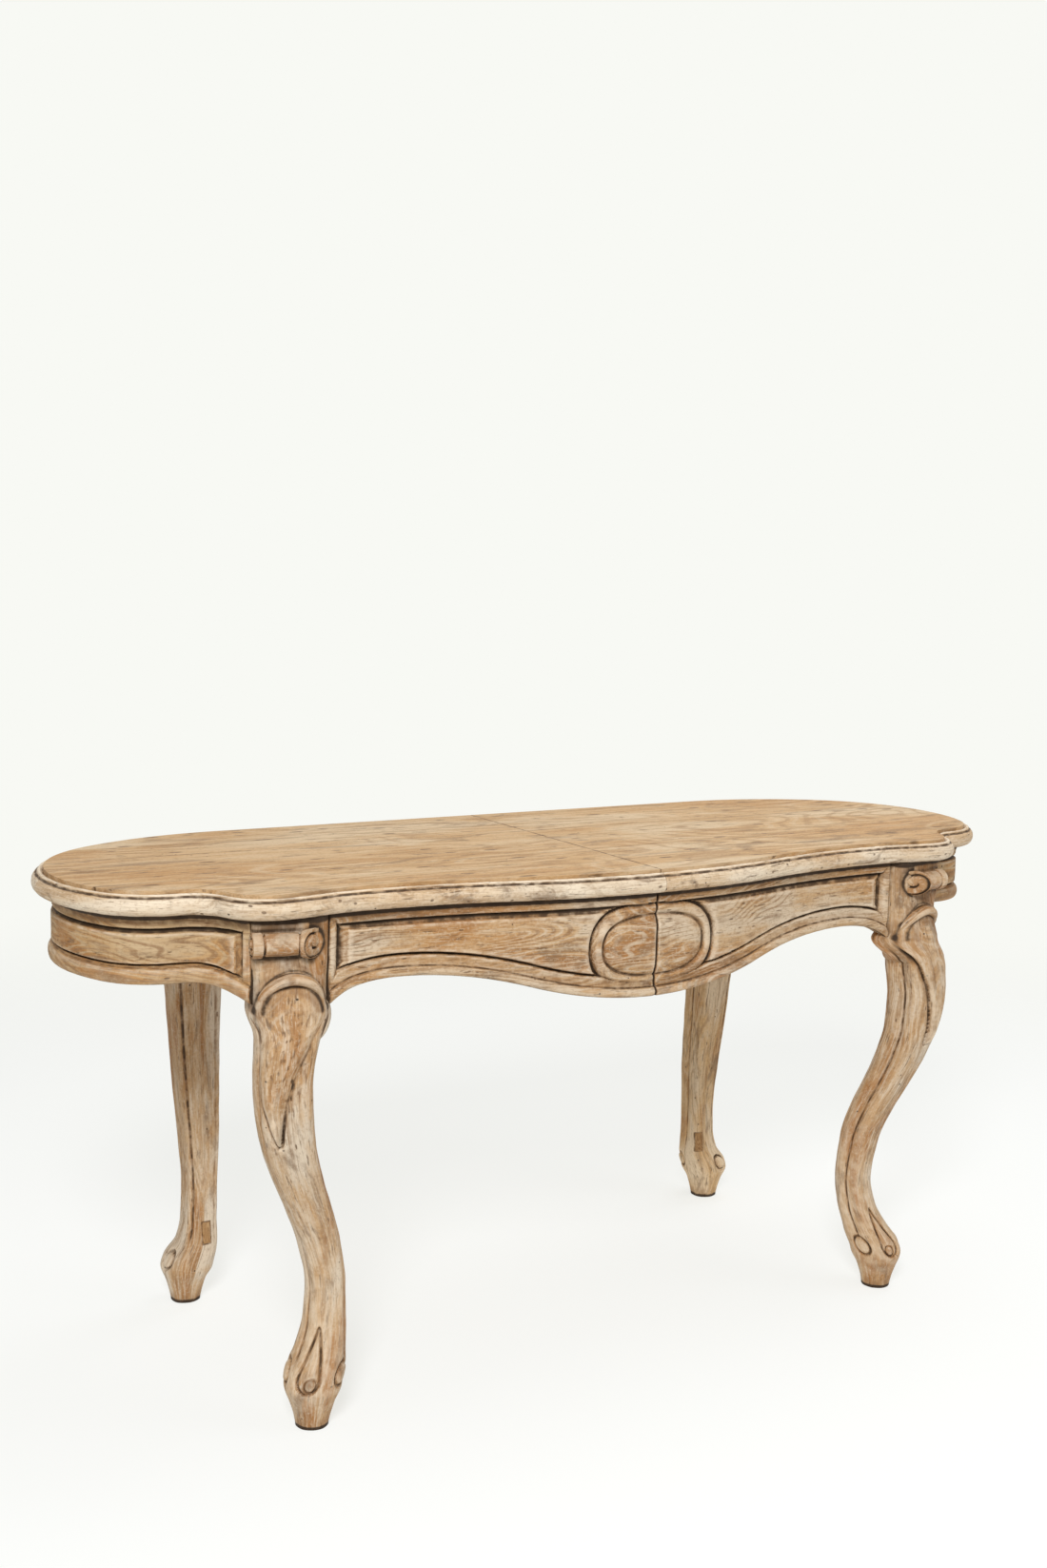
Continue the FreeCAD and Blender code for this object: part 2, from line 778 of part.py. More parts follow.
mirrored_pieces = {
    "edge_moulding_front_left": moulding_front,
    "edge_moulding_back_left": moulding_back,
    "front_apron_left": front_apron,
    "end_apron_left": end_apron,
    "back_apron_left": back_apron,
    "front_leg_left": front_leg,
    "back_leg_left": back_leg,
    "mortise_plug_left": plug,
    "apron_pegs_left": pegs_right,
    "glue_blocks_left": blocks_right,
}
for label, source in mirrored_pieces.items():
    keep(mirrored(label, source), label)

doc.recompute()

for node in doc.Objects:
    if "Invalid" in node.State or "Error" in node.State:
        raise RuntimeError(f"{node.Label} failed: {node.State}")
for node in subparts:
    if node.Shape.isNull() or not node.Shape.isValid():
        raise RuntimeError(f"{node.Label} has no valid shape")

os.makedirs("parts", exist_ok=True)
for node in subparts:
    node.Shape.exportStep(f"parts/{node.Label}.step")
    box_size = node.Shape.optimalBoundingBox()
    print(
        f"{node.Label}: {len(node.Shape.Solids)} solids, {node.Shape.Volume / 1000:.1f} cm3,",
        f"{box_size.XLength:.1f} x {box_size.YLength:.1f} x {box_size.ZLength:.1f} mm",
    )
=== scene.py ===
import math

import bmesh
import bpy
import numpy as np
from mathutils import Matrix, Vector


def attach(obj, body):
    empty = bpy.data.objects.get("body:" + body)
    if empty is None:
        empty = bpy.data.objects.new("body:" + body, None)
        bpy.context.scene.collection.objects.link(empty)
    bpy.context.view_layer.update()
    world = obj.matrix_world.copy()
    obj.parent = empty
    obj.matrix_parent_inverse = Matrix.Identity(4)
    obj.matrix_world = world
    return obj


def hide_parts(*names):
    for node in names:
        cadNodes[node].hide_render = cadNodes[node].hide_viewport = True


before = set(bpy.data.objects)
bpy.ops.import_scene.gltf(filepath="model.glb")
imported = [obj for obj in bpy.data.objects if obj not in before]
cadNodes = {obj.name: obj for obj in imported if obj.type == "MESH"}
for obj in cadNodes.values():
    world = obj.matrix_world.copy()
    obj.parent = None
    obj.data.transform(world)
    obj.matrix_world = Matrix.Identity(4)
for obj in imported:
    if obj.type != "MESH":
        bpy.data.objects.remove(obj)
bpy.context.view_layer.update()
scene = bpy.context.scene
halves = {"left": -1, "right": 1}
print("frame loaded")


# easing and soft masks

def smooth(low, high, value):
    share = np.clip((value - low) / (high - low), 0, 1)
    return share * share * (3 - 2 * share)


def dip(distance, width):
    # one at no distance, falling off softly over the width
    return np.exp(-(distance / width) ** 2)


def between(value, low, high, fadeLow, fadeHigh):
    # one between low and high, easing to nothing over the fade at each end
    risen = smooth(low + fadeLow[0], low + fadeLow[1], value)
    return risen * smooth(high + fadeHigh[0], high + fadeHigh[1], value)


def headingOf(degrees):
    return np.array([math.cos(math.radians(degrees)), math.sin(math.radians(degrees))])


# plan of the table's edge, in metres

straightTurn = 1e-5  # radians, below which an arc is drawn straight
sameHeading = 1e-9


def arcRun(start, direction, end, step):
    # points and right-hand normals of the arc that leaves start along direction and ends at end
    chord = end - start
    turn = math.atan2(direction[0] * chord[1] - direction[1] * chord[0], float(direction @ chord))
    count = max(2, int(np.linalg.norm(chord) / step))
    shares = np.linspace(0, 1, count + 1)
    side = np.array([-direction[1], direction[0]])
    if abs(turn) < straightTurn:
        points = start + np.outer(shares, chord)
        return points, np.tile(-side, (count + 1, 1))
    radius = np.linalg.norm(chord) / (2 * math.sin(turn))
    angles = 2 * turn * shares
    along = np.outer(np.sin(angles), direction) + np.outer(1 - np.cos(angles), side)
    tangents = np.outer(np.cos(angles), direction) + np.outer(np.sin(angles), side)
    return start + along * radius, np.stack([tangents[:, 1], -tangents[:, 0]], axis=1)


def biarcRun(start, startHeading, end, endHeading, step):
    # two arcs that meet smoothly, with given headings in degrees at both ends
    leave, arrive = headingOf(startHeading), headingOf(endHeading)
    chord = end - start
    spread = 2 * (1 - leave @ arrive)
    along = chord @ (leave + arrive)
    if spread < sameHeading:
        reach = chord @ chord / (2 * along)
    else:
        reach = (math.sqrt(along * along + spread * (chord @ chord)) - along) / spread
    joint = (start + leave * reach + end - arrive * reach) / 2
    first = arcRun(start, leave, joint, step)
    second = arcRun(end, -arrive, joint, step)
    points = np.vstack([first[0], second[0][::-1][1:]])
    normals = np.vstack([first[1], -second[1][::-1][1:]])
    return points, normals


plan = {
    "fieldHalf": 0.816,
    "fieldFront": -0.283,
    "fieldBack": 0.278,
    "hollow": (0.470, -0.227),
    "corner": (0.586, -0.240),
    "neck": (0.698, -0.156),
    "neckHeading": 2,
    "endBehind": 0.015,
    "backStraight": 0.470,
    "underTop": 0.726,
    "halfGap": 0.0003,
    "apronGap": 0.0009,
    "step": 0.002,
}


def fieldOutline():
    # right half of the edge of the boards, from the middle of the front round to the middle of the back
    stations = [
        ((0, plan["fieldFront"]), 0),
        (plan["hollow"], 0),
        (plan["corner"], 0),
        (plan["neck"], plan["neckHeading"]),
        ((plan["fieldHalf"], plan["endBehind"]), 90),
        ((plan["backStraight"], plan["fieldBack"]), 180),
        ((0, plan["fieldBack"]), 180),
    ]
    points, normals = [], []
    for (start, startHeading), (end, endHeading) in zip(stations, stations[1:]):
        run = biarcRun(np.array(start, float), startHeading, np.array(end, float), endHeading, plan["step"])
        skip = 1 if points else 0
        points.append(run[0][skip:])
        normals.append(run[1][skip:])
    return np.vstack(points), np.vstack(normals)


outlinePoints, outlineNormals = fieldOutline()


def offsetRun(offset, keep, count):
    # the outline moved outwards by offset, cut to the kept part and spaced evenly
    moved = outlinePoints + outlineNormals * offset
    mask = keep(moved)
    moved, turned = moved[mask], outlineNormals[mask]
    steps = np.linalg.norm(np.diff(moved, axis=0), axis=1)
    reached = np.concatenate([[0], np.cumsum(steps)])
    wanted = np.linspace(0, reached[-1], count)
    points = np.stack([np.interp(wanted, reached, moved[:, axis]) for axis in (0, 1)], axis=1)
    normals = np.stack([np.interp(wanted, reached, turned[:, axis]) for axis in (0, 1)], axis=1)
    normals /= np.linalg.norm(normals, axis=1)[:, None]
    return points, normals, wanted


# relief: where it is hollow, and the unevenness of hand work

def blurred(grid, size, wrap=False):
    # mean over a square window
    result = grid
    for axis in (0, 1):
        mode = "wrap" if wrap and axis == 0 else "edge"
        pad = [(size, size) if axis == other else (0, 0) for other in (0, 1)]
        padded = np.cumsum(np.pad(result, pad, mode=mode), axis=axis)
        zero = np.zeros_like(np.take(padded, [0], axis=axis))
        padded = np.concatenate([zero, padded], axis=axis)
        span = 2 * size + 1
        high = np.take(padded, range(span, padded.shape[axis]), axis=axis)
        low = np.take(padded, range(0, padded.shape[axis] - span), axis=axis)
        result = (high - low) / span
    return result


hollowWindows = ((2, 0.0010, 0.5), (7, 0.0028, 0.5), (16, 0.0036, 0.35))  # cells, full depth, share


def hollowness(relief, wrap=False):
    # cut lines and broader dips together, above zero in hollows and below on edges
    total = np.zeros_like(relief)
    for size, depth, share in hollowWindows:
        total += share * np.clip((blurred(relief, size, wrap) - relief) / depth, -1, 1)
    return np.clip(total, -1, 1)


handWaves = {"count": 7, "slowest": 0.5, "fastest": 2.2}


def waveNoise(first, second, seed, scale, amount):
    # a sum of a few slanted waves: an even, repeatable unevenness of hand work
    source = np.random.default_rng(seed)
    total = np.zeros(np.broadcast(first, second).shape)
    for wave in range(handWaves["count"]):
        angle = source.uniform(0, math.pi)
        phase = source.uniform(0, 2 * math.pi)
        rate = scale * source.uniform(handWaves["slowest"], handWaves["fastest"])
        slanted = math.cos(angle) * first + math.sin(angle) * second
        total += np.sin(rate * slanted + phase) / handWaves["count"]
    return total * amount


# stored values this high are drawn as an unbroken dark line: painted shadow under the moulding and at the
# lower rim of the feet, and the dark joints where the aprons meet the posts
contactLine = 1.6  # a stored hollow this high shows as an unbroken dark line
hollowRange = (-1, 2)  # rubbed edge to contact line
boardShade = {"line": (0.7172, 0.7202), "soft": (0.686, 0.718), "softShare": 0.44}


def underBoards(heights):
    # shade directly below the moulding
    line = contactLine * smooth(*boardShade["line"], heights)
    return line + boardShade["softShare"] * smooth(*boardShade["soft"], heights)


# meshes

weldDistance = 1e-6


class MeshParts:
    # gathers points, faces and the two stored values of a piece

    def __init__(self):
        self.points, self.faces, self.hollow, self.grain = [], [], [], []

    def add(self, points, faces, hollow, grain):
        start = len(self.points)
        self.points += [tuple(point) for point in points]
        self.faces += [tuple(start + index for index in face) for face in faces]
        self.hollow += [float(value) for value in hollow]
        self.grain += [tuple(value) for value in grain]

    def build(self, name, side, material, look):
        points = np.array(self.points)
        faces = self.faces
        if side < 0:
            points = points * np.array([-1, 1, 1])
            faces = [face[::-1] for face in faces]
        mesh = bpy.data.meshes.new(name)
        mesh.from_pydata([tuple(point) for point in points], [], faces)
        hollow = mesh.attributes.new("hollow", "FLOAT", "POINT")
        hollow.data.foreach_set("value", self.hollow)
        grain = mesh.attributes.new("grainPlace", "FLOAT_VECTOR", "POINT")
        grainX, grainY = look["grainAt"]
        grainPlaces = np.array(self.grain) + np.array([grainX * side, grainY, 0])
        grain.data.foreach_set("vector", grainPlaces.ravel())
        # points that coincide become one, so that seams are closed
        work = bmesh.new()
        work.from_mesh(mesh)
        bmesh.ops.remove_doubles(work, verts=work.verts, dist=weldDistance)
        work.to_mesh(mesh)
        work.free()
        mesh.polygons.foreach_set("use_smooth", [True] * len(mesh.polygons))
        mesh.set_sharp_from_angle(angle=math.radians(look["sharp"]))
        mesh.materials.append(material)
        mesh.update()
        return linkedObject(name, mesh)


def linkedObject(name, data):
    item = bpy.data.objects.new(name, data)
    scene.collection.objects.link(item)
    return item


def gridFaces(columns, rows, wrap=False):
    # point index is column * rows + row; faces turn so that columns x rows is the outside
    faces = []
    last = columns if wrap else columns - 1
    for column in range(last):
        here, beyond = column * rows, (column + 1) % columns * rows
        for row in range(rows - 1):
            faces.append((here + row, beyond + row, beyond + row + 1, here + row + 1))
    return faces


def tubeFaces(columns, rows):
    # a wall that closes on itself, with a cap over its first and its last row
    first = tuple(column * rows for column in range(columns))
    last = tuple(index + rows - 1 for index in first)
    return gridFaces(columns, rows, wrap=True) + [first[::-1], last]


def seatPiece(piece, half, nodes):
    # a piece moves with its half and stands for its CAD nodes
    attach(piece, f"{half}_half")
    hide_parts(*nodes)


# nodes of surfaces and of geometry trees

def addNode(tree, kind, inputs=None, **settings):
    # an input takes a plain value or a link from a socket
    node = tree.nodes.new(kind)
    for name, value in settings.items():
        setattr(node, name, value)
    for name, value in (inputs or {}).items():
        if isinstance(value, bpy.types.NodeSocket):
            tree.links.new(value, node.inputs[name])
        else:
            node.inputs[name].default_value = value
    return node


def mathNode(tree, operation, *values, clamp=False):
    inputs = dict(enumerate(values))
    return addNode(tree, "ShaderNodeMath", inputs, operation=operation, use_clamp=clamp).outputs[0]


def rangeNode(tree, value, low, high, toLow=0.0, toHigh=1.0):
    inputs = {"Value": value, "From Min": low, "From Max": high, "To Min": toLow, "To Max": toHigh}
    return addNode(tree, "ShaderNodeMapRange", inputs, interpolation_type="SMOOTHSTEP").outputs["Result"]


def stretched(tree, place, scale):
    return addNode(tree, "ShaderNodeVectorMath", {0: place, 1: scale}, operation="MULTIPLY").outputs[0]


def noiseNode(tree, place, scale, detail=3.0, distortion=0.0, roughness=0.55):
    inputs = {
        "Vector": stretched(tree, place, scale), "Scale": 1.0,
        "Detail": detail, "Roughness": roughness, "Distortion": distortion,
    }
    return addNode(tree, "ShaderNodeTexNoise", inputs).outputs["Fac"]


def mixColour(tree, share, first, second):
    # inputs 6 and 7 of this node are its two colours, and output 2 is their mix
    colours = [(*value, 1) if isinstance(value, tuple) else value for value in (first, second)]
    inputs = {0: share, 6: colours[0], 7: colours[1]}
    return addNode(tree, "ShaderNodeMix", inputs, data_type="RGBA").outputs[2]


spotEdge = 0.55  # share of a spot's radius that is full


def cellSpots(tree, place, scale, radius, share):
    # small round spots in a few cells of a cell pattern
    inputs = {"Vector": stretched(tree, place, scale), "Scale": 1.0, "Randomness": 1.0}
    cells = addNode(tree, "ShaderNodeTexVoronoi", inputs)
    near = rangeNode(tree, cells.outputs["Distance"], radius, radius * spotEdge)
    parts = addNode(tree, "ShaderNodeSeparateColor", {0: cells.outputs["Color"]})
    chosen = mathNode(tree, "LESS_THAN", parts.outputs[0], share)
    return mathNode(tree, "MULTIPLY", near, chosen)


def emptyMaterial(name):
    material = bpy.data.materials.new(name)
    material.use_nodes = True
    material.node_tree.nodes.clear()
    return material, material.node_tree


# wood

# soft steps that turn a noise or the stored hollow into a mask
woodSteps = {
    "zone": (0.41, 0.55),
    "ringDark": (-0.35, -1.0),
    "ringPale": (0.55, 1.0),
    "streakDark": (0.52, 0.65),
    "streakPale": (0.47, 0.36),
    "strokeDark": (0.61, 0.70),
    "strokeCut": (0.60, 0.76),
    "fibreDark": (0.53, 0.66),
    "fibrePale": (0.46, 0.34),
    "stain": (0.545, 0.67),
    "mottleDark": (0.54, 0.66),
    "mottlePale": (0.46, 0.34),
    # stored hollow to colour: dark wax and painted shade together; above contact, painted shadow lines and
    # dark joints; below zero, paler for wear and painted highlight
    "shallow": (0.03, 0.45),
    "deeper": (0.28, 0.78),
    "groove": (0.66, 1.0),
    "contact": (1.05, 1.5),
    "wearAndHighlight": (-0.12, -0.75),
    "seam": (0.0016, 0.0004),
    "split": (0.0026, 0.0008),
    "blotches": (0.36, 0.62, 0.25, 1.0),  # this mask runs from 0.25 to 1
    "rough": (0.2, 0.8),
}
woodBumps = {"streaks": 0.6, "fibres": 0.4, "mottle": 0.35, "strokes": -0.5, "flecks": -0.8, "holes": -2.0}
groundStops = {"lime": 0.385, "light": 0.46, "honey": 0.535, "warm": 0.615}

woodLook = {
    "source": "stored",
    "seams": 0,
    # pale is the tone of worn edges and of painted highlights
    "pale": (0.75, 0.625, 0.475),
    "lime": (0.610, 0.485, 0.345),
    "light": (0.525, 0.350, 0.192),
    "honey": (0.475, 0.270, 0.115),
    "warm": (0.370, 0.175, 0.060),
    "brown": (0.255, 0.140, 0.065),
    "umber": (0.290, 0.150, 0.062),
    "stain": (0.175, 0.105, 0.058),
    "dark": (0.115, 0.062, 0.029),
    "deep": (0.034, 0.020, 0.011),
    "driftScale": (4, 12, 12),
    "drift": (0.05, 0.012, 0.012),
    "patchScale": (4.5, 12, 12),
    "figureScale": (3.0, 13, 13),
    "zoneScale": (4, 7, 7),
    "ringCount": 150,
    "streakScale": (9, 130, 130),
    "strokeScale": (30, 230, 230),
    "fibreScale": (45, 700, 700),
    "stainScale": (9, 24, 24),
    "mottleScale": (230, 230, 230),
    "blotchScale": (60, 60, 60),
    "fleckScale": (36, 120, 120),
    "fleckSize": 0.18,
    "fleckShare": 0.20,
    "fleckDepth": 0.8,
    "holeScale": (58, 58, 58),
    "holeSize": 0.10,
    "holeShare": 0.22,
    "holeDepth": 0.92,
    "ringShare": 0.76,
    "streakShare": 0.60,
    "strokeShare": 0.70,
    "limeShare": 0.55,
    "poreShare": 0.45,
    "stainShare": 0.62,
    "mottleShare": 0.32,
    "shallowShare": 0.55,
    "hollowShare": 0.62,
    "grooveShare": 0.70,
    "contactShare": 0.9,
    "wearAndHighlightShare": 0.50,
    "roughness": 0.66,
    "smoother": 0.08,
    "rougher": 0.10,
    "shine": 0.22,
    "bump": 0.6,
    "bumpHeight": 0.0014,
}


def woodMaterial(name, look):
    material, tree = emptyMaterial(name)

    def scaled(value, share):
        return mathNode(tree, "MULTIPLY", value, share)

    def step(value, key):
        return rangeNode(tree, value, *woodSteps[key])

    hollow = None
    if look["source"] == "stored":
        straight = addNode(tree, "ShaderNodeAttribute", attribute_name="grainPlace").outputs["Vector"]
        hollow = addNode(tree, "ShaderNodeAttribute", attribute_name="hollow").outputs["Fac"]
    else:
        straight = addNode(tree, "ShaderNodeTexCoord").outputs["Object"]
    if look["seams"]:
        # grime along the joints of the boards and along the split
        axes = addNode(tree, "ShaderNodeSeparateXYZ", {0: straight}).outputs
        apart = mathNode(tree, "SUBTRACT", mathNode(tree, "ABSOLUTE", axes[1]), look["seams"])
        seam = step(mathNode(tree, "ABSOLUTE", apart), "seam")
        hollow = mathNode(tree, "MAXIMUM", seam, step(mathNode(tree, "ABSOLUTE", axes[0]), "split"))

    # grain lines wander a little
    inputs = {"Vector": stretched(tree, straight, look["driftScale"]), "Scale": 1.0, "Detail": 2.0}
    drift = addNode(tree, "ShaderNodeTexNoise", inputs).outputs["Color"]
    inputs = {0: drift, 1: look["drift"], 2: straight}
    place = addNode(tree, "ShaderNodeVectorMath", inputs, operation="MULTIPLY_ADD").outputs[0]

    # ground tone from limed grey through honey to brown
    patches = noiseNode(tree, place, look["patchScale"], detail=4.0, distortion=0.4)
    ground = addNode(tree, "ShaderNodeValToRGB", {0: patches})
    stops = ground.color_ramp.elements
    for stop, tone in zip(stops, ("lime", "warm")):
        stop.position = groundStops[tone]
        stop.color = (*look[tone], 1)
    for tone in ("light", "honey"):
        stops.new(groundStops[tone]).color = (*look[tone], 1)
    colour = ground.outputs["Color"]

    # growth rings, streaks, strokes and fibres along the grain; stains, flecks, worm holes and mottle
    figure = noiseNode(tree, place, look["figureScale"], detail=1.5, distortion=0.3)
    rings = mathNode(tree, "SINE", scaled(figure, look["ringCount"]))
    zones = step(noiseNode(tree, place, look["zoneScale"], detail=1.0), "zone")
    streaks = noiseNode(tree, place, look["streakScale"], detail=6.0, roughness=0.66)
    strokes = noiseNode(tree, place, look["strokeScale"], detail=2.5, roughness=0.6)
    fibres = noiseNode(tree, place, look["fibreScale"], detail=3.0, roughness=0.6)
    stains = noiseNode(tree, place, look["stainScale"], detail=6.0, distortion=0.9, roughness=0.62)
    flecks = cellSpots(tree, place, look["fleckScale"], look["fleckSize"], look["fleckShare"])
    holes = cellSpots(tree, straight, look["holeScale"], look["holeSize"], look["holeShare"])
    mottle = noiseNode(tree, straight, look["mottleScale"], detail=3.0)
    layers = [
        (scaled(step(rings, "ringDark"), zones), "ringShare", "brown"),
        (scaled(step(rings, "ringPale"), zones), "ringShare", "lime"),
        (step(streaks, "streakDark"), "streakShare", "brown"),
        (step(streaks, "streakPale"), "limeShare", "lime"),
        (step(strokes, "strokeDark"), "strokeShare", "dark"),
        (step(fibres, "fibreDark"), "poreShare", "brown"),
        (step(fibres, "fibrePale"), "limeShare", "lime"),
        (step(stains, "stain"), "stainShare", "stain"),
        (flecks, "fleckDepth", "dark"),
        (holes, "holeDepth", "deep"),
        (step(mottle, "mottleDark"), "mottleShare", "brown"),
        (step(mottle, "mottlePale"), "mottleShare", "lime"),
    ]
    if hollow is not None:
        # umber, dark wax and black in ever deeper hollows, partly painted shade; paler edges, partly wear and
        # partly painted highlight
        blotches = noiseNode(tree, straight, look["blotchScale"], detail=4.0)
        uneven = step(blotches, "blotches")
        layers += [
            (scaled(step(hollow, "shallow"), uneven), "shallowShare", "umber"),
            (scaled(step(hollow, "deeper"), uneven), "hollowShare", "dark"),
            (scaled(step(hollow, "groove"), uneven), "grooveShare", "deep"),
            # painted shadow lines and dark joints stay unbroken
            (step(hollow, "contact"), "contactShare", "deep"),
            (scaled(step(hollow, "wearAndHighlight"), uneven), "wearAndHighlightShare", "pale"),
        ]
    for mask, share, tone in layers:
        colour = mixColour(tree, scaled(mask, look[share]), colour, look[tone])

    height = scaled(streaks, woodBumps["streaks"])
    bumps = {
        "fibres": fibres, "mottle": mottle, "strokes": step(strokes, "strokeCut"),
        "flecks": flecks, "holes": holes,
    }
    for key, value in bumps.items():
        height = mathNode(tree, "ADD", height, scaled(value, woodBumps[key]))
    rough = (look["roughness"] - look["smoother"], look["roughness"] + look["rougher"])
    inputs = {"Height": height, "Strength": look["bump"], "Distance": look["bumpHeight"]}
    bump = addNode(tree, "ShaderNodeBump", inputs)
    shader = addNode(tree, "ShaderNodeBsdfPrincipled", {
        "IOR": 1.45, "Specular IOR Level": look["shine"], "Base Color": colour,
        "Roughness": rangeNode(tree, streaks, *woodSteps["rough"], *rough), "Normal": bump.outputs[0],
    })
    addNode(tree, "ShaderNodeOutputMaterial", {"Surface": shader.outputs[0]})
    return material


legLook = {
    **woodLook, "patchScale": (5.5, 15, 15), "ringShare": 0.45, "streakShare": 0.42, "poreShare": 0.34,
    "hollowShare": 0.72, "grooveShare": 0.78,
}
woods = {
    "carved": woodMaterial("carvedWood", woodLook),
    "leg": woodMaterial("legWood", {
        **legLook, "pale": (0.75, 0.61, 0.445), "lime": (0.65, 0.54, 0.41), "light": (0.555, 0.395, 0.245),
        "honey": (0.495, 0.305, 0.150), "limeShare": 0.52, "mottleShare": 0.26, "holeShare": 0.26,
        "fleckShare": 0.24,
    }),
    # a warmer copy of the leg wood for the right back leg: its own golden tone, and lighter as painted light
    # on a leg in shade
    "goldenLeg": woodMaterial("goldenLitLegWood", {
        **legLook, "pale": (0.78, 0.62, 0.43), "lime": (0.70, 0.55, 0.375), "light": (0.645, 0.450, 0.255),
        "honey": (0.605, 0.385, 0.180), "warm": (0.47, 0.250, 0.095), "limeShare": 0.36, "mottleShare": 0.22,
    }),
    "edge": woodMaterial("edgeWood", {
        **woodLook, "pale": (0.86, 0.765, 0.62), "lime": (0.775, 0.655, 0.50), "light": (0.69, 0.535, 0.365),
        "honey": (0.61, 0.435, 0.265), "warm": (0.47, 0.300, 0.160), "brown": (0.33, 0.20, 0.105),
        "streakShare": 0.46, "ringShare": 0.34, "stainShare": 0.64, "strokeShare": 0.80, "fleckShare": 0.42,
        "fleckScale": (50, 70, 70), "stainScale": (18, 34, 34), "holeShare": 0.40,
    }),
    "top": woodMaterial("topWood", {
        **woodLook, "source": "object", "seams": 0.095, "lime": (0.66, 0.500, 0.320),
        "light": (0.60, 0.405, 0.220), "honey": (0.555, 0.350, 0.170), "warm": (0.50, 0.285, 0.120),
        "brown": (0.33, 0.185, 0.080), "figureScale": (1.7, 6, 6), "ringCount": 120, "ringShare": 0.52,
        "streakScale": (5, 95, 95), "strokeScale": (22, 120, 120), "fleckScale": (14, 46, 46),
        "patchScale": (2.4, 8, 8), "stainScale": (6, 22, 22), "stainShare": 0.48, "strokeShare": 0.80,
        "limeShare": 0.40, "streakShare": 0.54, "mottleShare": 0.24, "fleckShare": 0.42, "fleckSize": 0.23,
        "holeShare": 0.20, "grooveShare": 0.6, "hollowShare": 0.5, "roughness": 0.58, "bump": 0.4,
    }),
    "endApron": woodMaterial("endApronWood", {
        **woodLook, "lime": (0.535, 0.390, 0.230), "light": (0.490, 0.305, 0.140),
        "honey": (0.450, 0.240, 0.090), "warm": (0.36, 0.168, 0.056), "limeShare": 0.38,
    }),
    "board": woodMaterial("boardWood", {**woodLook, "source": "object"}),
    "inner": woodMaterial("innerWood", {
        **woodLook, "source": "object", "limeShare": 0.20, "light": (0.42, 0.28, 0.165),
        "lime": (0.47, 0.35, 0.23),
    }),
    "plug": woodMaterial("plugWood", {
        **woodLook, "lime": (0.47, 0.295, 0.145), "light": (0.41, 0.235, 0.098),
        "honey": (0.38, 0.205, 0.078), "warm": (0.31, 0.155, 0.058), "brown": (0.23, 0.115, 0.048),
        "limeShare": 0.2,
    }),
}

steelLook = {
    "bare": (0.30, 0.29, 0.27),
    "rust": (0.16, 0.075, 0.035),
    "rustScale": (420, 420, 420),
    "rustFrom": (0.45, 0.65),
    "rough": (0.3, 0.7, 0.35, 0.75),
    "metal": 0.85,
    "bump": 0.4,
    "bumpHeight": 0.0004,
}


def steelMaterial():
    material, tree = emptyMaterial("screwSteel")
    coordinates = addNode(tree, "ShaderNodeTexCoord").outputs["Object"]
    rust = noiseNode(tree, coordinates, steelLook["rustScale"], detail=4.0)
    inputs = {"Height": rust, "Strength": steelLook["bump"], "Distance": steelLook["bumpHeight"]}
    bump = addNode(tree, "ShaderNodeBump", inputs)
    rusty = rangeNode(tree, rust, *steelLook["rustFrom"])
    shader = addNode(tree, "ShaderNodeBsdfPrincipled", {
        "Metallic": steelLook["metal"], "Normal": bump.outputs[0],
        "Base Color": mixColour(tree, rusty, steelLook["bare"], steelLook["rust"]),
        "Roughness": rangeNode(tree, rust, *steelLook["rough"]),
    })
    addNode(tree, "ShaderNodeOutputMaterial", {"Surface": shader.outputs[0]})
    return material


screwSteel = steelMaterial()
print("surfaces made")


# posts of the right half, which the aprons meet; the left half is its mirror image

frontPost = {"turn": 11.5, "face": (0.567, -0.236), "width": 0.108, "depth": 0.078}
postAcross = headingOf(frontPost["turn"])
postInward = headingOf(90 + frontPost["turn"])
frontPost["middle"] = np.array(frontPost["face"]) + postInward * frontPost["depth"] / 2
backPost = {"turn": 180, "middle": np.array((0.520, 0.241)), "width": 0.080, "depth": 0.058}
postOverlap = 0.0008  # aprons run this far past the face of a post


def postSide(points):
    return (points - frontPost["middle"]) @ postAcross


# aprons: a dense front with carved relief, closed by a plain back

contactFade = 0.4  # share of a joint's reach that is fully dark


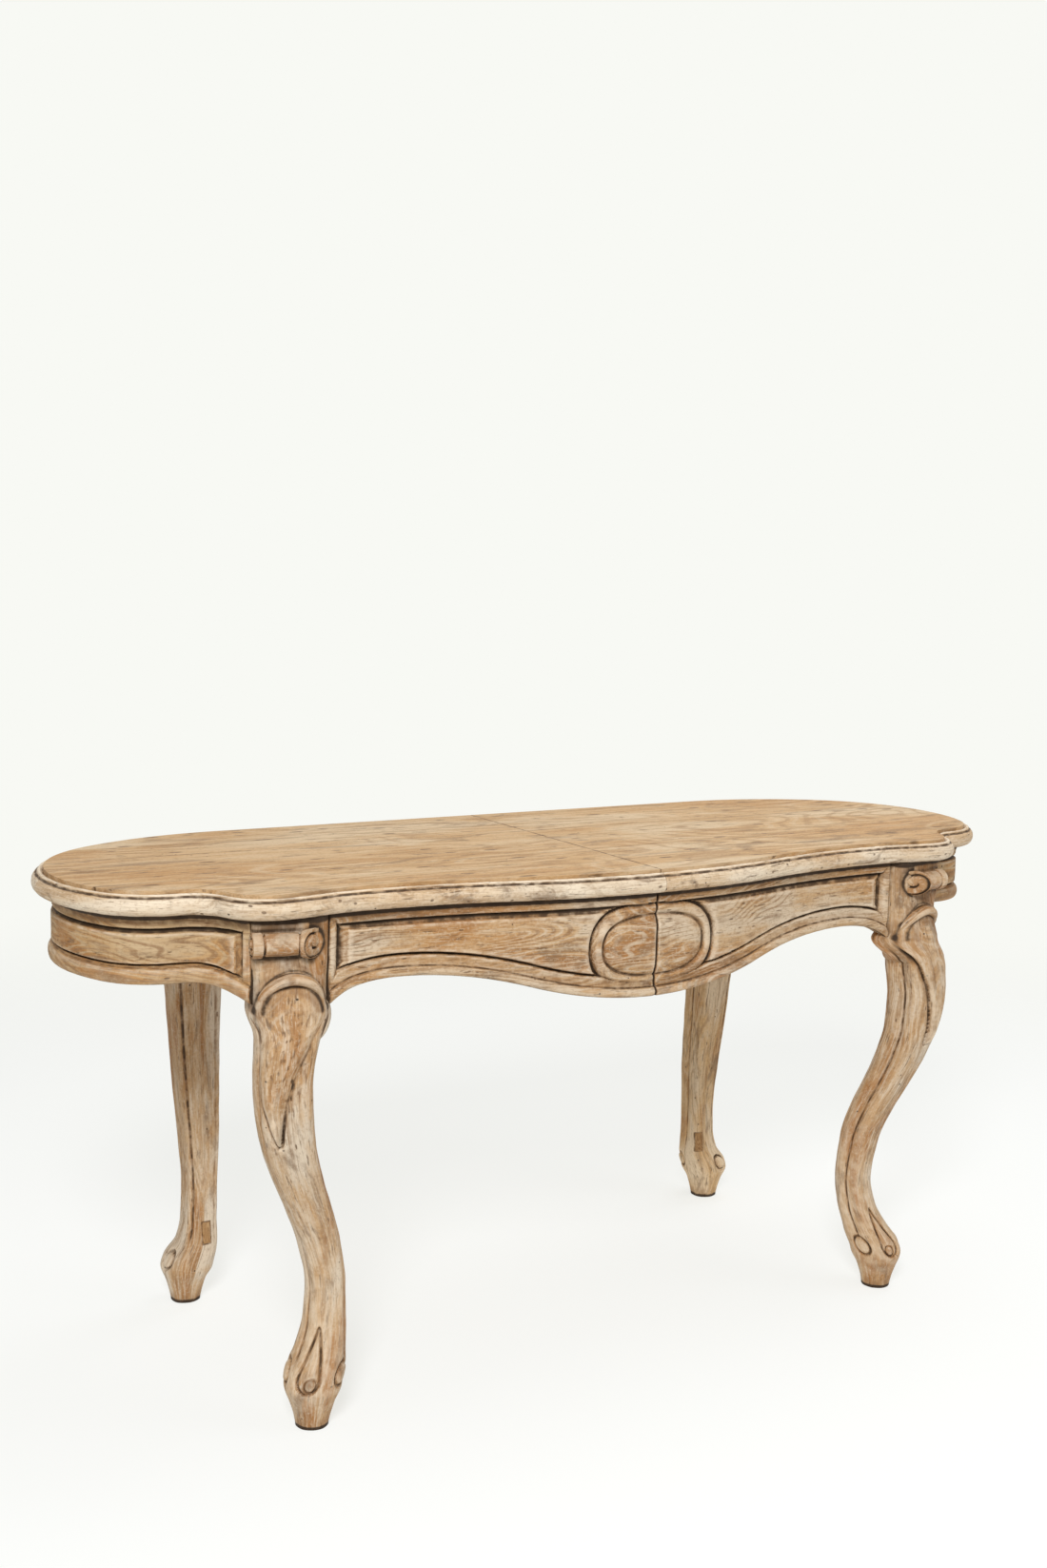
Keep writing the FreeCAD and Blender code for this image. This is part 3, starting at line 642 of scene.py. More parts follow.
def apronPiece(points, normals, along, bottoms, look, relief):
    columns, rows, thickness, top = len(points), look["rows"], look["thickness"], plan["underTop"]
    shares = np.linspace(0, 1, rows)
    heights = bottoms[:, None] + (top - bottoms)[:, None] * shares[None, :]
    raised, paintedShading = relief(points, along, heights)
    front = np.empty((columns, rows, 3))
    front[:, :, :2] = points[:, None, :] + normals[:, None, :] * raised[:, :, None]
    front[:, :, 2] = heights
    back = np.empty((columns, 2, 3))
    back[:, :, :2] = (points - normals * thickness)[:, None, :]
    back[:, 0, 2], back[:, 1, 2] = bottoms, top
    ends = zip((0, along[-1]), look["joints"])
    lines = [contactLine * smooth(reach, reach * contactFade, np.abs(along - at)) for at, reach in ends]
    contact = np.max(lines, axis=0)[:, None]
    # stored hollow: hollows of the carving (dark wax and painted shade together), painted shadow under the
    # moulding, dark joints at both ends, and the painted shading of the relief
    hollow = np.clip(hollowness(raised) + underBoards(heights) + contact + paintedShading, *hollowRange)
    grain = np.stack([np.repeat(along, rows), heights.ravel(), raised.ravel()], axis=1)
    deep = np.full(2 * columns, thickness)
    backGrain = np.stack([np.repeat(along, 2), back[:, :, 2].ravel(), deep], axis=1)
    faces = gridFaces(columns, rows)
    total = columns * rows
    for column in range(columns - 1):
        low, nextLow = total + 2 * column, total + 2 * column + 2
        foot, nextFoot = column * rows, (column + 1) * rows
        faces.append((nextLow, low, low + 1, nextLow + 1))
        faces.append((foot, low, nextLow, nextFoot))
        faces.append((nextFoot + rows - 1, nextLow + 1, low + 1, foot + rows - 1))
    lastFront, lastBack = (columns - 1) * rows, total + 2 * columns - 2
    faces.append((*range(rows), total + 1, total))
    faces.append((*range(lastFront + rows - 1, lastFront - 1, -1), lastBack, lastBack + 1))
    parts = MeshParts()
    parts.add(np.vstack([front.reshape(-1, 3), back.reshape(-1, 3)]), faces,
              np.concatenate([hollow.ravel(), np.zeros(2 * columns)]), np.vstack([grain, backGrain]))
    return parts


panel = {
    "grooveAt": 0.0016,
    # distance inside the frame and height there: a sunk bevel that rises to the field
    "bevel": [(-0.001, 0), (0.001, -0.0054), (0.0125, -0.0028), (0.0150, 0.0002), (0.0180, 0.0010)],
    "slopeShade": 0.42,
    "slopeFrom": (0.0, 0.003),
    "slopeTo": (0.0145, 0.0105),
    "arrisHighlight": 0.45,
    "arris": 0.0162,
    "arrisWidth": 0.0018,
}


def panelProfile(grooves, bevelled):
    # each groove is its distance inside the frame, depth and width; bevelled drives the bevel and the field
    sides = np.stack([np.broadcast_to(distance, bevelled.shape) for distance, (depth, width) in grooves])
    nearest = np.argmin(sides, axis=0)
    depth, width = [np.array([groove[1][part] for groove in grooves])[nearest] for part in (0, 1)]
    cut = depth * dip(sides.min(axis=0) - panel["grooveAt"], width)
    raised = np.interp(bevelled, *zip(*panel["bevel"])) - cut
    # painted shade on the slope, painted highlight on the arris of the field
    slope = smooth(*panel["slopeFrom"], bevelled) * smooth(*panel["slopeTo"], bevelled)
    arris = dip(bevelled - panel["arris"], panel["arrisWidth"])
    return raised, panel["slopeShade"] * slope - panel["arrisHighlight"] * arris


def roundBand(distance, width):
    # square of a half-round band's height, one in its middle and nothing outside it
    return np.clip(1 - ((distance - width / 2) / (width / 2)) ** 2, 0, 1)


frontApron = {
    "inset": 0.004,
    "thickness": 0.026,
    "belly": (0.0, 0.569),
    "arch": (0.405, 0.627),
    "corner": (0.5055, 0.600),
    "cornerHeading": -38,
    "border": 0.029,
    "stile": 0.4920,
    "topRail": 0.7085,
    # depth and width of the groove on each side of the panel, and how fast the bevel falls from it
    "stileGroove": (0.0070, 0.0058),
    "topGroove": (0.0022, 0.0030),
    "bottomGroove": (0.0036, 0.0022),
    "ovalGroove": (0.0052, 0.0056),
    "bevelRates": (0.9, 1.5, 3.2, 2.4),
    "lip": 0.0135,
    "lipHeight": 0.0056,
    "lipTint": 0.55,
    "lipTintEdge": (0.002, -0.003),
    "lipQuirk": 0.0010,
    "lipQuirkAt": 0.0006,
    "lipQuirkWidth": 0.0012,
    "cove": 0.0018,
    "coveWidth": 0.0064,
    "oval": (0.0905, 0.0462),
    "ovalHeight": 0.6465,
    "ovalPower": 2.5,
    "ovalClear": 1e-6,  # keeps a division clear of zero
    "ovalCut": 0.0058,
    "ovalCutWidth": 0.0028,
    "ovalSwell": 0.0044,
    "ovalSwellOver": 0.020,
    "ovalSunk": 0.0016,
    "ovalBead": 0.0175,
    "ovalBeadHeight": 0.0018,
    "ovalBeadTint": 0.34,
    "ovalBeadInset": 0.001,
    "postCut": 0.0034,
    "postCutFrom": (0.5062, 0.5092),
    "splitCut": 0.0030,
    "splitCutWidth": 0.0014,
    "handWork": (11, 140, 0.0005),  # seed, scale and height
    "joints": (0.0022, 0.0044),  # reach of the dark line at each end
    "grainAt": (0.7, 0.3),
    "sharp": 70,
    "columns": 430,
    "rows": 104,
}


def frontBottom(alongX):
    look = frontApron
    belly, arch, corner = np.array(look["belly"]), np.array(look["arch"]), np.array(look["corner"])
    first = biarcRun(belly, 0, arch, 0, plan["step"])[0]
    second = biarcRun(arch, 0, corner, look["cornerHeading"], plan["step"])[0]
    edge = np.vstack([first, second[1:]])
    return np.interp(alongX, edge[:, 0], edge[:, 1])


def frontRelief(points, along, heights):
    look = frontApron
    x = np.repeat(points[:, 0][:, None], heights.shape[1], axis=1)
    slope = np.gradient(heights[:, 0], along)
    fromBottom = (heights - heights[:, :1]) / np.sqrt(1 + slope ** 2)[:, None]
    # central oval: distance outside its edge
    wide, tall = look["oval"]
    power = look["ovalPower"]
    acrossShare = np.abs(x / wide) + look["ovalClear"]
    upShare = np.abs((heights - look["ovalHeight"]) / tall) + look["ovalClear"]
    level = (acrossShare ** power + upShare ** power) ** (1 / power)
    slopeX = (acrossShare / level) ** (power - 1) / wide
    slopeZ = (upShare / level) ** (power - 1) / tall
    outside = (level - 1) / np.sqrt(slopeX ** 2 + slopeZ ** 2)
    sides = {
        "stile": look["stile"] - x, "top": look["topRail"] - heights,
        "bottom": fromBottom - look["border"], "oval": outside - look["ovalBead"],
    }
    raised, paintedShading = panelProfile(
        [(distance, look[f"{side}Groove"]) for side, distance in sides.items()],
        np.minimum.reduce([distance * rate for distance, rate in zip(sides.values(), look["bevelRates"])]),
    )
    # rounded lip along the bottom edge, a quirk and a cove above it
    lip = look["lip"]
    quirk = dip(fromBottom - lip - look["lipQuirkAt"], look["lipQuirkWidth"])
    raised += look["lipHeight"] * np.sqrt(roundBand(fromBottom, lip)) - look["lipQuirk"] * quirk
    raised -= look["cove"] * dip(fromBottom - (lip + look["border"]) / 2, look["coveWidth"])
    # darker along the bottom lip
    above, below = look["lipTintEdge"]
    paintedShading += look["lipTint"] * smooth(lip + above, lip + below, fromBottom)
    # the oval swells inside its groove, and a round bead runs round it
    beside = (acrossShare / level) ** 2
    half = look["ovalBead"] / 2
    bead = np.clip(1 - ((outside - half) / (half - look["ovalBeadInset"])) ** 2, 0, 1)
    raised += look["ovalBeadHeight"] * beside * np.sqrt(bead)
    raised -= look["ovalCut"] * (0.5 + 0.5 * beside) * dip(outside, look["ovalCutWidth"])
    # darker on the oval's bead
    paintedShading += look["ovalBeadTint"] * bead
    swell = look["ovalSwell"] * smooth(0, look["ovalSwellOver"], -outside) - look["ovalSunk"]
    raised += np.where(outside < 0, swell, 0)
    # joint with the post, and the softened edge at the split
    raised -= look["postCut"] * smooth(*look["postCutFrom"], x)
    raised -= look["splitCut"] * dip(x - plan["apronGap"], look["splitCutWidth"])
    return raised + waveNoise(along[:, None], heights, *look["handWork"]), paintedShading


endApron = {
    "inset": 0.009,
    "thickness": 0.026,
    "level": 0.630,
    "cornerDrop": 0.022,
    "cornerLength": 0.056,
    "cornerPower": 2.2,
    "panelLow": 0.0245,
    "panelTop": 0.7060,
    "stile": 0.017,
    # depth and width of the grooves beside the stiles, at the top and at the bottom
    "stileGroove": (0.0050, 0.0030),
    "topGroove": (0.0020, 0.0022),
    "bottomGroove": (0.0012, 0.0018),
    "topRate": 2.0,
    "bottomRate": 4.0,
    "torus": 0.022,
    "torusHeight": 0.0056,
    "torusTint": 0.25,
    "torusSunk": 0.0020,
    "torusQuirk": 0.0014,
    "torusQuirkAt": 0.0012,
    "torusQuirkWidth": 0.0018,
    "cove": 0.0075,
    "coveFrom": 0.003,
    "postCut": 0.0030,
    "postCutFrom": (0.0036, 0.0004),
    "handWork": (23, 140, 0.0005),
    "joints": (0.0036, 0.0036),
    "backFrom": 0.1,
    "grainAt": (1.9, 1.1),
    "sharp": 70,
    "columns": 520,
    "rows": 80,
}


def endRelief(points, along, heights):
    look = endApron
    fromBottom = heights - heights[:, :1]
    fromStart = np.repeat(along[:, None], heights.shape[1], axis=1)
    fromEnd = along[-1] - fromStart
    toStart, toEnd = fromStart - look["stile"], fromEnd - look["stile"]
    toTop, toBottom = look["panelTop"] - heights, fromBottom - look["panelLow"]
    raised, paintedShading = panelProfile(
        [(toStart, look["stileGroove"]), (toEnd, look["stileGroove"]),
         (toTop, look["topGroove"]), (toBottom, look["bottomGroove"])],
        np.minimum.reduce([toStart, toEnd, toTop * look["topRate"], toBottom * look["bottomRate"]]),
    )
    torus = roundBand(fromBottom, look["torus"])
    quirk = dip(fromBottom - look["torus"] - look["torusQuirkAt"], look["torusQuirkWidth"])
    raised += look["torusHeight"] * np.sqrt(torus) - look["torusSunk"] - look["torusQuirk"] * quirk
    # cove under the boards
    coveLow = look["panelTop"] + look["coveFrom"]
    cove = np.clip((heights - coveLow) / (plan["underTop"] - coveLow), 0, 1)
    raised += look["cove"] * cove ** 2
    for reach in (fromStart, fromEnd):
        raised -= look["postCut"] * smooth(*look["postCutFrom"], reach)
    handWork = waveNoise(along[:, None], heights, *look["handWork"])
    # darker on the torus
    return raised + handWork, paintedShading + look["torusTint"] * torus


def betweenPosts(moved):
    inner = postSide(moved) <= -frontPost["width"] / 2 + postOverlap
    return (moved[:, 1] < 0) & (moved[:, 0] >= 0) & inner


def roundTheEnd(moved):
    beyondFront = postSide(moved) >= frontPost["width"] / 2 - postOverlap
    backFace = backPost["middle"][0] + backPost["width"] / 2 - postOverlap
    return beyondFront & ((moved[:, 1] < endApron["backFrom"]) | (moved[:, 0] >= backFace))


for half, side in halves.items():
    points, normals, along = offsetRun(-frontApron["inset"], betweenPosts, frontApron["columns"])
    points[0, 0] = plan["apronGap"]
    bottoms = frontBottom(points[:, 0])
    parts = apronPiece(points, normals, along, bottoms, frontApron, frontRelief)
    piece = parts.build(f"carvedFrontApron_{half}", side, woods["carved"], frontApron)
    seatPiece(piece, half, [f"front_apron_{half}"])

    points, normals, along = offsetRun(-endApron["inset"], roundTheEnd, endApron["columns"])
    risen = np.clip((points[:, 0] - points[0, 0]) / endApron["cornerLength"], 0, 1)
    drop = endApron["cornerDrop"] * (1 - risen) ** endApron["cornerPower"]
    bottoms = np.where(points[:, 1] < plan["endBehind"], endApron["level"] - drop, endApron["level"])
    parts = apronPiece(points, normals, along, bottoms, endApron, endRelief)
    piece = parts.build(f"carvedEndApron_{half}", side, woods["endApron"], endApron)
    seatPiece(piece, half, [f"end_apron_{half}"])
print("aprons carved")


# legs: rings of points round a bent centre line, with carved relief

def stationCurve(heights, stations, column):
    # smooth curve through the stations, level where the value turns
    rises = np.array([station[0] for station in stations])
    values = np.array([station[column] for station in stations])
    steps = np.diff(values) / np.diff(rises)
    slopes = np.zeros_like(values)
    for number in range(1, len(values) - 1):
        before, after = steps[number - 1], steps[number]
        if before * after > 0:
            slopes[number] = 2 * before * after / (before + after)
    place = np.clip(np.searchsorted(rises, heights, side="right") - 1, 0, len(rises) - 2)
    span = rises[place + 1] - rises[place]
    t = (heights - rises[place]) / span
    return (
        (2 * t ** 3 - 3 * t ** 2 + 1) * values[place] + (t ** 3 - 2 * t ** 2 + t) * span * slopes[place]
        + (3 * t ** 2 - 2 * t ** 3) * values[place + 1] + (t ** 3 - t ** 2) * span * slopes[place + 1]
    )


def ringRadius(angles, halfWide, frontDeep, backDeep, power):
    deep = np.where(np.cos(angles) > 0, frontDeep, backDeep)
    total = (np.abs(np.sin(angles)) / halfWide) ** power + (np.abs(np.cos(angles)) / deep) ** power
    return total ** (-1 / power)


def emptyRelief(angle, heights):
    return np.zeros(np.broadcast(angle, heights).shape)


strap = {
    "fadeLow": (-0.006, 0.010),
    "fadeHigh": (0.004, -0.012),
    "line": 0.0025,
    "roll": 0.0095,
    "share": 0.85,
}


def strapGroove(angle, radius, heights, at, low, high, depth):
    # a cut line that runs down the leg between two rolls, fading at both ends
    reach = between(heights, low, high, strap["fadeLow"], strap["fadeHigh"])
    share = strap["share"]
    total = emptyRelief(angle, heights)
    for sign, turned in zip((-1, 1), at):
        distance = (angle - sign * math.radians(turned)) * radius
        total -= reach * depth * (share * dip(distance, strap["line"]) + share * dip(distance, strap["roll"]))
    return total


disc = {"cut": 0.0052, "cutWidth": 0.0025, "dome": 0.0016}


def discRelief(angle, radius, heights, at, rise, size):
    total = emptyRelief(angle, heights)
    for sign, turned in zip((-1, 1), at):
        reach = np.sqrt(((angle - sign * math.radians(turned)) * radius) ** 2 + (heights - rise) ** 2)
        dome = np.where(reach < size, disc["dome"] * (1 - (reach / size) ** 2), 0)
        total += -disc["cut"] * dip(reach - size, disc["cutWidth"]) + dome
    return total


toeDrop = {
    "low": 0.0575,
    "middle": 0.0775,
    "high": 0.137,
    "wide": 0.0178,
    "point": 0.9,
    "fadeLow": (-0.002, 0.001),
    "fadeHigh": (0.004, -0.002),
    "cut": 0.0050,
    "cutWidth": 0.0024,
    "sunk": 0.0026,
    "sunkFrom": (0.001, -0.003),
    "spine": 0.0030,
    "spineShare": 0.42,
    "spineClear": 1e-4,  # keeps a division clear of zero
    "spineTop": (0.125, 0.10),
    "spineFoot": (0.071, 0.081),
    "curlAt": (-0.004, 0.0695),
    "curl": 0.0034,
    "curlSize": 0.0050,
    "curlCut": 0.0018,
    "curlCutAt": 0.0085,
    "curlCutWidth": 0.0016,
}


def toeRelief(angle, radius, heights, at):
    # a sunk drop, round below and pointed above, with a small curl at its foot
    look = toeDrop
    low, middle, high = look["low"], look["middle"], look["high"]
    below = np.sqrt(np.clip(1 - ((heights - middle) / (middle - low)) ** 2, 0, 1))
    above = np.clip(1 - (heights - middle) / (high - middle), 0, 1) ** look["point"]
    width = look["wide"] * np.where(heights < middle, below, above)
    distance = (angle - math.radians(at)) * radius
    edge = np.abs(distance) - width
    inRange = between(heights, low, high, look["fadeLow"], look["fadeHigh"])
    spine = dip(distance / (width + look["spineClear"]), look["spineShare"])
    spine = spine * smooth(*look["spineTop"], heights) * smooth(*look["spineFoot"], heights)
    cut = -look["cut"] * dip(edge, look["cutWidth"]) - look["sunk"] * smooth(*look["sunkFrom"], edge)
    curlAside, curlRise = look["curlAt"]
    curl = np.sqrt((distance - curlAside) ** 2 + (heights - curlRise) ** 2)
    return (
        inRange * (cut + look["spine"] * spine) + look["curl"] * dip(curl, look["curlSize"])
        - look["curlCut"] * dip(curl - look["curlCutAt"], look["curlCutWidth"])
    )


frontLeg = {
    # height, centre along, centre across, half width, half depth, corner power; in metres on the floor plan
    "stations": [
        (0.000, 0.5240, -0.2250, 0.0230, 0.0230, 2.1),
        (0.012, 0.5240, -0.2250, 0.0250, 0.0250, 2.1),
        (0.034, 0.5240, -0.2248, 0.0315, 0.0315, 2.1),
        (0.060, 0.5225, -0.2230, 0.0405, 0.0405, 2.2),
        (0.078, 0.5175, -0.2190, 0.0410, 0.0410, 2.2),
        (0.105, 0.5055, -0.2100, 0.0365, 0.0365, 2.2),
        (0.140, 0.4945, -0.1990, 0.0312, 0.0312, 2.2),
        (0.185, 0.4905, -0.1920, 0.0290, 0.0290, 2.3),
        (0.250, 0.5010, -0.1912, 0.0305, 0.0305, 2.5),
        (0.300, 0.5190, -0.1970, 0.0325, 0.0325, 2.9),
        (0.350, 0.5410, -0.2085, 0.0345, 0.0345, 3.1),
        (0.400, 0.5600, -0.2195, 0.0372, 0.0372, 3.1),
        (0.450, 0.5710, -0.2270, 0.0392, 0.0392, 3.1),
        (0.500, 0.5742, -0.2275, 0.0400, 0.0405, 3.1),
        (0.545, 0.5696, -0.2253, 0.0425, 0.0415, 3.0),
        (0.575, 0.5661, -0.2249, 0.0470, 0.0380, 2.8),
        (0.602, 0.5645, -0.2238, 0.0515, 0.0375, 2.6),
    ],
    "columns": 208,
    "rows": 388,
    "blend": (0.566, 0.600),
    # height, depth of front and back from the middle of the post,
    # corner power of the outer and of the inner front edge
    "throat": [
        (0.600, 0.0640, 0.0100, 2.3, 2.3),
        (0.622, 0.0560, 0.0110, 2.2, 2.2),
        (0.640, 0.0490, 0.0200, 2.4, 2.4),
        (0.655, 0.0415, 0.0390, 4.0, 3.2),
        (0.668, 0.0385, 0.0390, 10.0, 4.0),
        (0.726, 0.0390, 0.0390, 12.0, 4.0),
    ],
    # foot and top of the cut lines, and their depth
    "straps": (0.090, 0.590, 0.0034),
    "rearStraps": (0.095, 0.560, 0.0016),
    "rearStrapsAt": (132, 132),
    "discs": (0.0765, 0.0148),
    "handWork": (31, 110, 0.0007),
    "grainAt": (3.1, 0.8),
    "sharp": 60,
}
postPower = 12.0  # corner power of a square post
legGirth = 0.04  # metres per radian, for the unevenness of the legs

# turns of the carved marks round each leg in degrees: inner then outer side for straps and discs;
# swell of the ear on each side, outer end and length of the scroll in metres, stain on the leaf,
# and how much paler the whole leg and its limed lower part are drawn
legMarks = {
    "left": {
        "leaf": (27, 31, 27, 20, 8), "leafLine": 0.10, "drop": 27, "straps": (62, 72), "discs": (52, 100),
        "ears": (0.0100, 0.0010), "scroll": (0.0570, 0.0860), "stain": 0.85, "bleach": (0.04, 0.36),
    },
    "right": {
        "leaf": (3, 10, 10, 7, -12), "leafLine": 0.85, "drop": -6, "straps": (79, 70), "discs": (80, 66),
        "ears": (0.0165, 0.0020), "scroll": (0.0465, 0.0740), "stain": 0.45, "bleach": (0.04, 0.36),
    },
}

kneeLeaf = {
    "axisHeights": [0.42, 0.478, 0.52, 0.556, 0.60],
    # height and half width of the leaf
    "halfWidths": [(0.417, 0), (0.428, 0.0035), (0.447, 0.0080), (0.478, 0.0160), (0.52, 0.0265),
                   (0.556, 0.0380), (0.60, 0.0490)],
    "start": (0.412, 0.424),
    "tipLine": (0.475, 0.440),
    # strength of the outline and how softly the leaf's side falls there
    "softness": [(0.10, 0.0200), (0.85, 0.0045)],
    "raised": 0.0046,
    "raisedFrom": 0.0010,
    "cut": 0.0036,
    "cutAt": 0.0012,
    "cutWidth": 0.0026,
    "crown": 0.0042,
    "crownClear": 1e-5,  # keeps a division clear of zero
    "fall": 0.0034,
    "fallWidth": 0.0110,
    "tipCut": 0.0030,
    "tipCutAt": 0.0015,
    "tipCutWidth": 0.0022,
    "tipCutBelow": (0.485, 0.435),
    # shift from the axis as a share of the half width, foot and top of each tool mark
    "toolMarks": ((-0.42, 0.50, 0.58), (0.10, 0.46, 0.55), (0.50, 0.48, 0.57)),
    "toolDepth": 0.0009,
    "toolWidth": 0.0022,
    "toolFade": 0.03,
}


def frontLegRelief(angle, radius, heights, marks):
    # angle 0 faces front, positive angles turn towards the end of the table
    look = kneeLeaf
    leafAxis = np.radians(np.interp(heights, look["axisHeights"], marks["leaf"]))
    leafHalf = np.interp(heights, *zip(*look["halfWidths"]))
    fromAxis = (angle - leafAxis) * radius
    fromLeaf = np.abs(fromAxis) - leafHalf
    onLeaf = smooth(*look["start"], heights)
    line = np.maximum(marks["leafLine"], smooth(*look["tipLine"], heights))
    soft = np.interp(line, *zip(*look["softness"]))
    cut = look["cut"] * line * dip(fromLeaf - look["cutAt"], look["cutWidth"])
    total = onLeaf * (look["raised"] * smooth(look["raisedFrom"], -soft, fromLeaf) - cut)
    crown = np.clip(1 - (fromAxis / (leafHalf + look["crownClear"])) ** 2, 0, 1)
    total += onLeaf * look["crown"] * crown
    # the leg falls away beside the leaf
    total -= onLeaf * line * look["fall"] * dip(np.clip(fromLeaf, 0, 1), look["fallWidth"]) * (fromLeaf > 0)
    # deeper undercut at the tip, a few shallow tool marks on the leaf
    tip = smooth(*look["tipCutBelow"], heights) * onLeaf
    total -= look["tipCut"] * dip(fromLeaf - look["tipCutAt"], look["tipCutWidth"]) * tip
    for shift, low, high in look["toolMarks"]:
        reach = between(heights, low, high, (0, look["toolFade"]), (0, -look["toolFade"]))
        total -= look["toolDepth"] * reach * dip(fromAxis - shift * leafHalf, look["toolWidth"])
    total += strapGroove(angle, radius, heights, marks["straps"], *frontLeg["straps"])
    total += strapGroove(angle, radius, heights, frontLeg["rearStrapsAt"], *frontLeg["rearStraps"])
    total += discRelief(angle, radius, heights, marks["discs"], *frontLeg["discs"])
    total += toeRelief(angle, radius, heights, marks["drop"])
    return total + waveNoise(angle * legGirth, heights, *frontLeg["handWork"])


scroll = {
    "height": 0.692,
    "forward": 0.0050,
    "turns": 1.5,
    "slant": 0.95,
    "slantOver": 0.030,
    # share of the length and radius: a volute, a collar, the bar and a second collar
    "profile": [
        (0.0, 0.0200), (0.0125, 0.0205), (0.1400, 0.0190), (0.2060, 0.0172), (0.2220, 0.0130),
        (0.2400, 0.0126), (0.2560, 0.0150), (0.5000, 0.0158), (0.7800, 0.0152), (0.8000, 0.0124),
        (0.8190, 0.0126), (0.8380, 0.0168), (0.8630, 0.0174), (0.9810, 0.0172), (1.0, 0.0150),
    ],
    "around": 84,
    "rows": 120,
    "rings": 30,
    "eye": 0.02,
    "bulge": 0.0024,
    "cut": 0.0060,
    "cutWidth": 0.0021,
    "cutInner": (0.14, 0.28),
    "cutOuter": (1.0, 0.96),
    "rim": 0.999,
    # painted shade where it sits on the post and underneath, painted highlight on top: share, from and to
    "seat": (1.3, 0.10, -0.25),
    "under": (0.5, -0.35, -0.95),
    "wearAndHighlight": (0.75, 0.35, 0.95),
    "highlightTurn": 0.9,
    "collarShade": 1.3,
    "barRange": (-1, 1.5),
    "darkCut": 0.0028,
    "paleEnd": 0.25,
    "endRange": (-1, 1.7),
    "barGrain": 0.015,
    "endGrain": (0.02, 0.01),
    # shade on the post: how it fades at both ends, and share, place and width of each soft line
    "fadeStart": (-0.006, 0.004),
    "fadeEnd": (0.004, -0.002),
    "lines": ((1.10, -0.0185, 0.0042), (0.40, -0.0270, 0.0080), (0.75, 0.0180, 0.0028)),
    "volute": 0.006,
    "voluteRim": 0.0215,
    "voluteLines": ((1.30, 0.0, 0.0024), (0.40, 0.004, 0.006)),
}
brow = {
    "wide": 0.0440,
    "tall": 0.0464,
    "low": 0.5985,
    "thick": 0.0080,
    "deep": 0.0145,
    "top": 0.0095,
    "ends": -0.0300,
    "inner": (0.0425, 0.0398),
    "outer": (0.0480, 0.0545),
    "steps": 96,
    "around": 28,
    "overrun": 0.12,
    "taper": (-0.13, 0.35),
    "thickShares": (0.30, 0.20, 0.50),  # everywhere, by the taper, by the arch
    "deepShares": (0.7, 0.3),
    "archPower": 0.8,
    # painted shade where the band sits on the post, painted highlight on its front: share, from and to
    "seat": (1.3, 0.30, -0.05),
    "wearAndHighlight": (0.85, 0.55, 1.0),
    "grain": (0.05, 0.009),
    # shade on the post: where it starts, and share, place and width of the soft lines over and under the brow
    "fade": (-0.006, 0.002),
    "overLines": ((1.15, 1.03, 0.035), (0.40, 1.12, 0.10)),
    "underLines": ((1.20, 0.95, 0.060), (0.45, 0.74, 0.20)),
}
kneeStain = {
    "turn": 0.2,
    "spread": 0.75,
    "foot": (0.455, 0.50),
    "top": (0.625, 0.59),
    "marks": (0.10, 0.45),
    "girth": 0.045,
    # stretch up the leg, then seed, scale and height of the tool marks
    "coarse": (0.6, 53, 420, 1.0),
    "fine": (0.8, 59, 900, 0.8),
}
ears = {
    "height": 0.583,
    "half": 0.023,
    "turn": 97,
    "spread": 0.62,
    "lineTurn": 58,
    "lineSpread": 0.10,
    "lineShade": 0.9,
}
facingFront = 0.2  # cosine of the turn, above which a point of the leg looks forward


def shadeStep(value, share, low, high):
    return share * smooth(low, high, value)


def shadeLines(distance, lines):
    return sum(share * dip(distance - place, width) for share, place, width in lines)


def kneeShade(angle, level, aside, marks):
    # shade along the brow and the scroll, and old stain in the tool marks of the leaf
    facing = np.cos(angle) > facingFront
    rise = np.clip(level - brow["low"], 0, 1)
    under = np.hypot(aside / brow["inner"][0], rise / brow["inner"][1])
    over = np.hypot(aside / brow["outer"][0], rise / brow["outer"][1])
    fadeLow, fadeHigh = brow["fade"]
    above = facing * smooth(brow["low"] + fadeLow, brow["low"] + fadeHigh, level)
    shade = above * shadeLines(over, brow["overLines"]) + above * shadeLines(under, brow["underLines"])
    end, length = marks["scroll"]
    start = end - length
    onScroll = between(aside, start, end, scroll["fadeStart"], scroll["fadeEnd"])
    apart = level - scroll["height"]
    shade = shade + facing * onScroll * shadeLines(apart, scroll["lines"])
    volute = start + scroll["volute"]
    rim = np.hypot(aside - volute, apart) - scroll["voluteRim"]
    shade = shade + facing * (aside < volute) * shadeLines(rim, scroll["voluteLines"])
    worked = emptyRelief(angle, level)
    for stretch, *waves in (kneeStain["coarse"], kneeStain["fine"]):
        worked += waveNoise(angle * kneeStain["girth"], level * stretch, *waves)
    onKnee = dip(angle - kneeStain["turn"], kneeStain["spread"])
    onKnee = onKnee * smooth(*kneeStain["foot"], level) * smooth(*kneeStain["top"], level)
    return shade + marks["stain"] * onKnee * smooth(*kneeStain["marks"], worked)


def earSwell(angle, level, amounts):
    # ears swell out of both sides where the straps start, with a painted shade line in front of them
    reach = np.sqrt(np.clip(1 - ((level - ears["height"]) / ears["half"]) ** 2, 0, 1))
    swell, shade = emptyRelief(angle, level), emptyRelief(angle, level)
    for sign, amount in zip((-1, 1), amounts):
        swell += sign * amount * reach * dip(angle - sign * math.radians(ears["turn"]), ears["spread"])
        # painted shade line in the crease in front of each ear
        cut = dip(angle - sign * math.radians(ears["lineTurn"]), ears["lineSpread"])
        shade += ears["lineShade"] * reach * cut
    return swell, shade


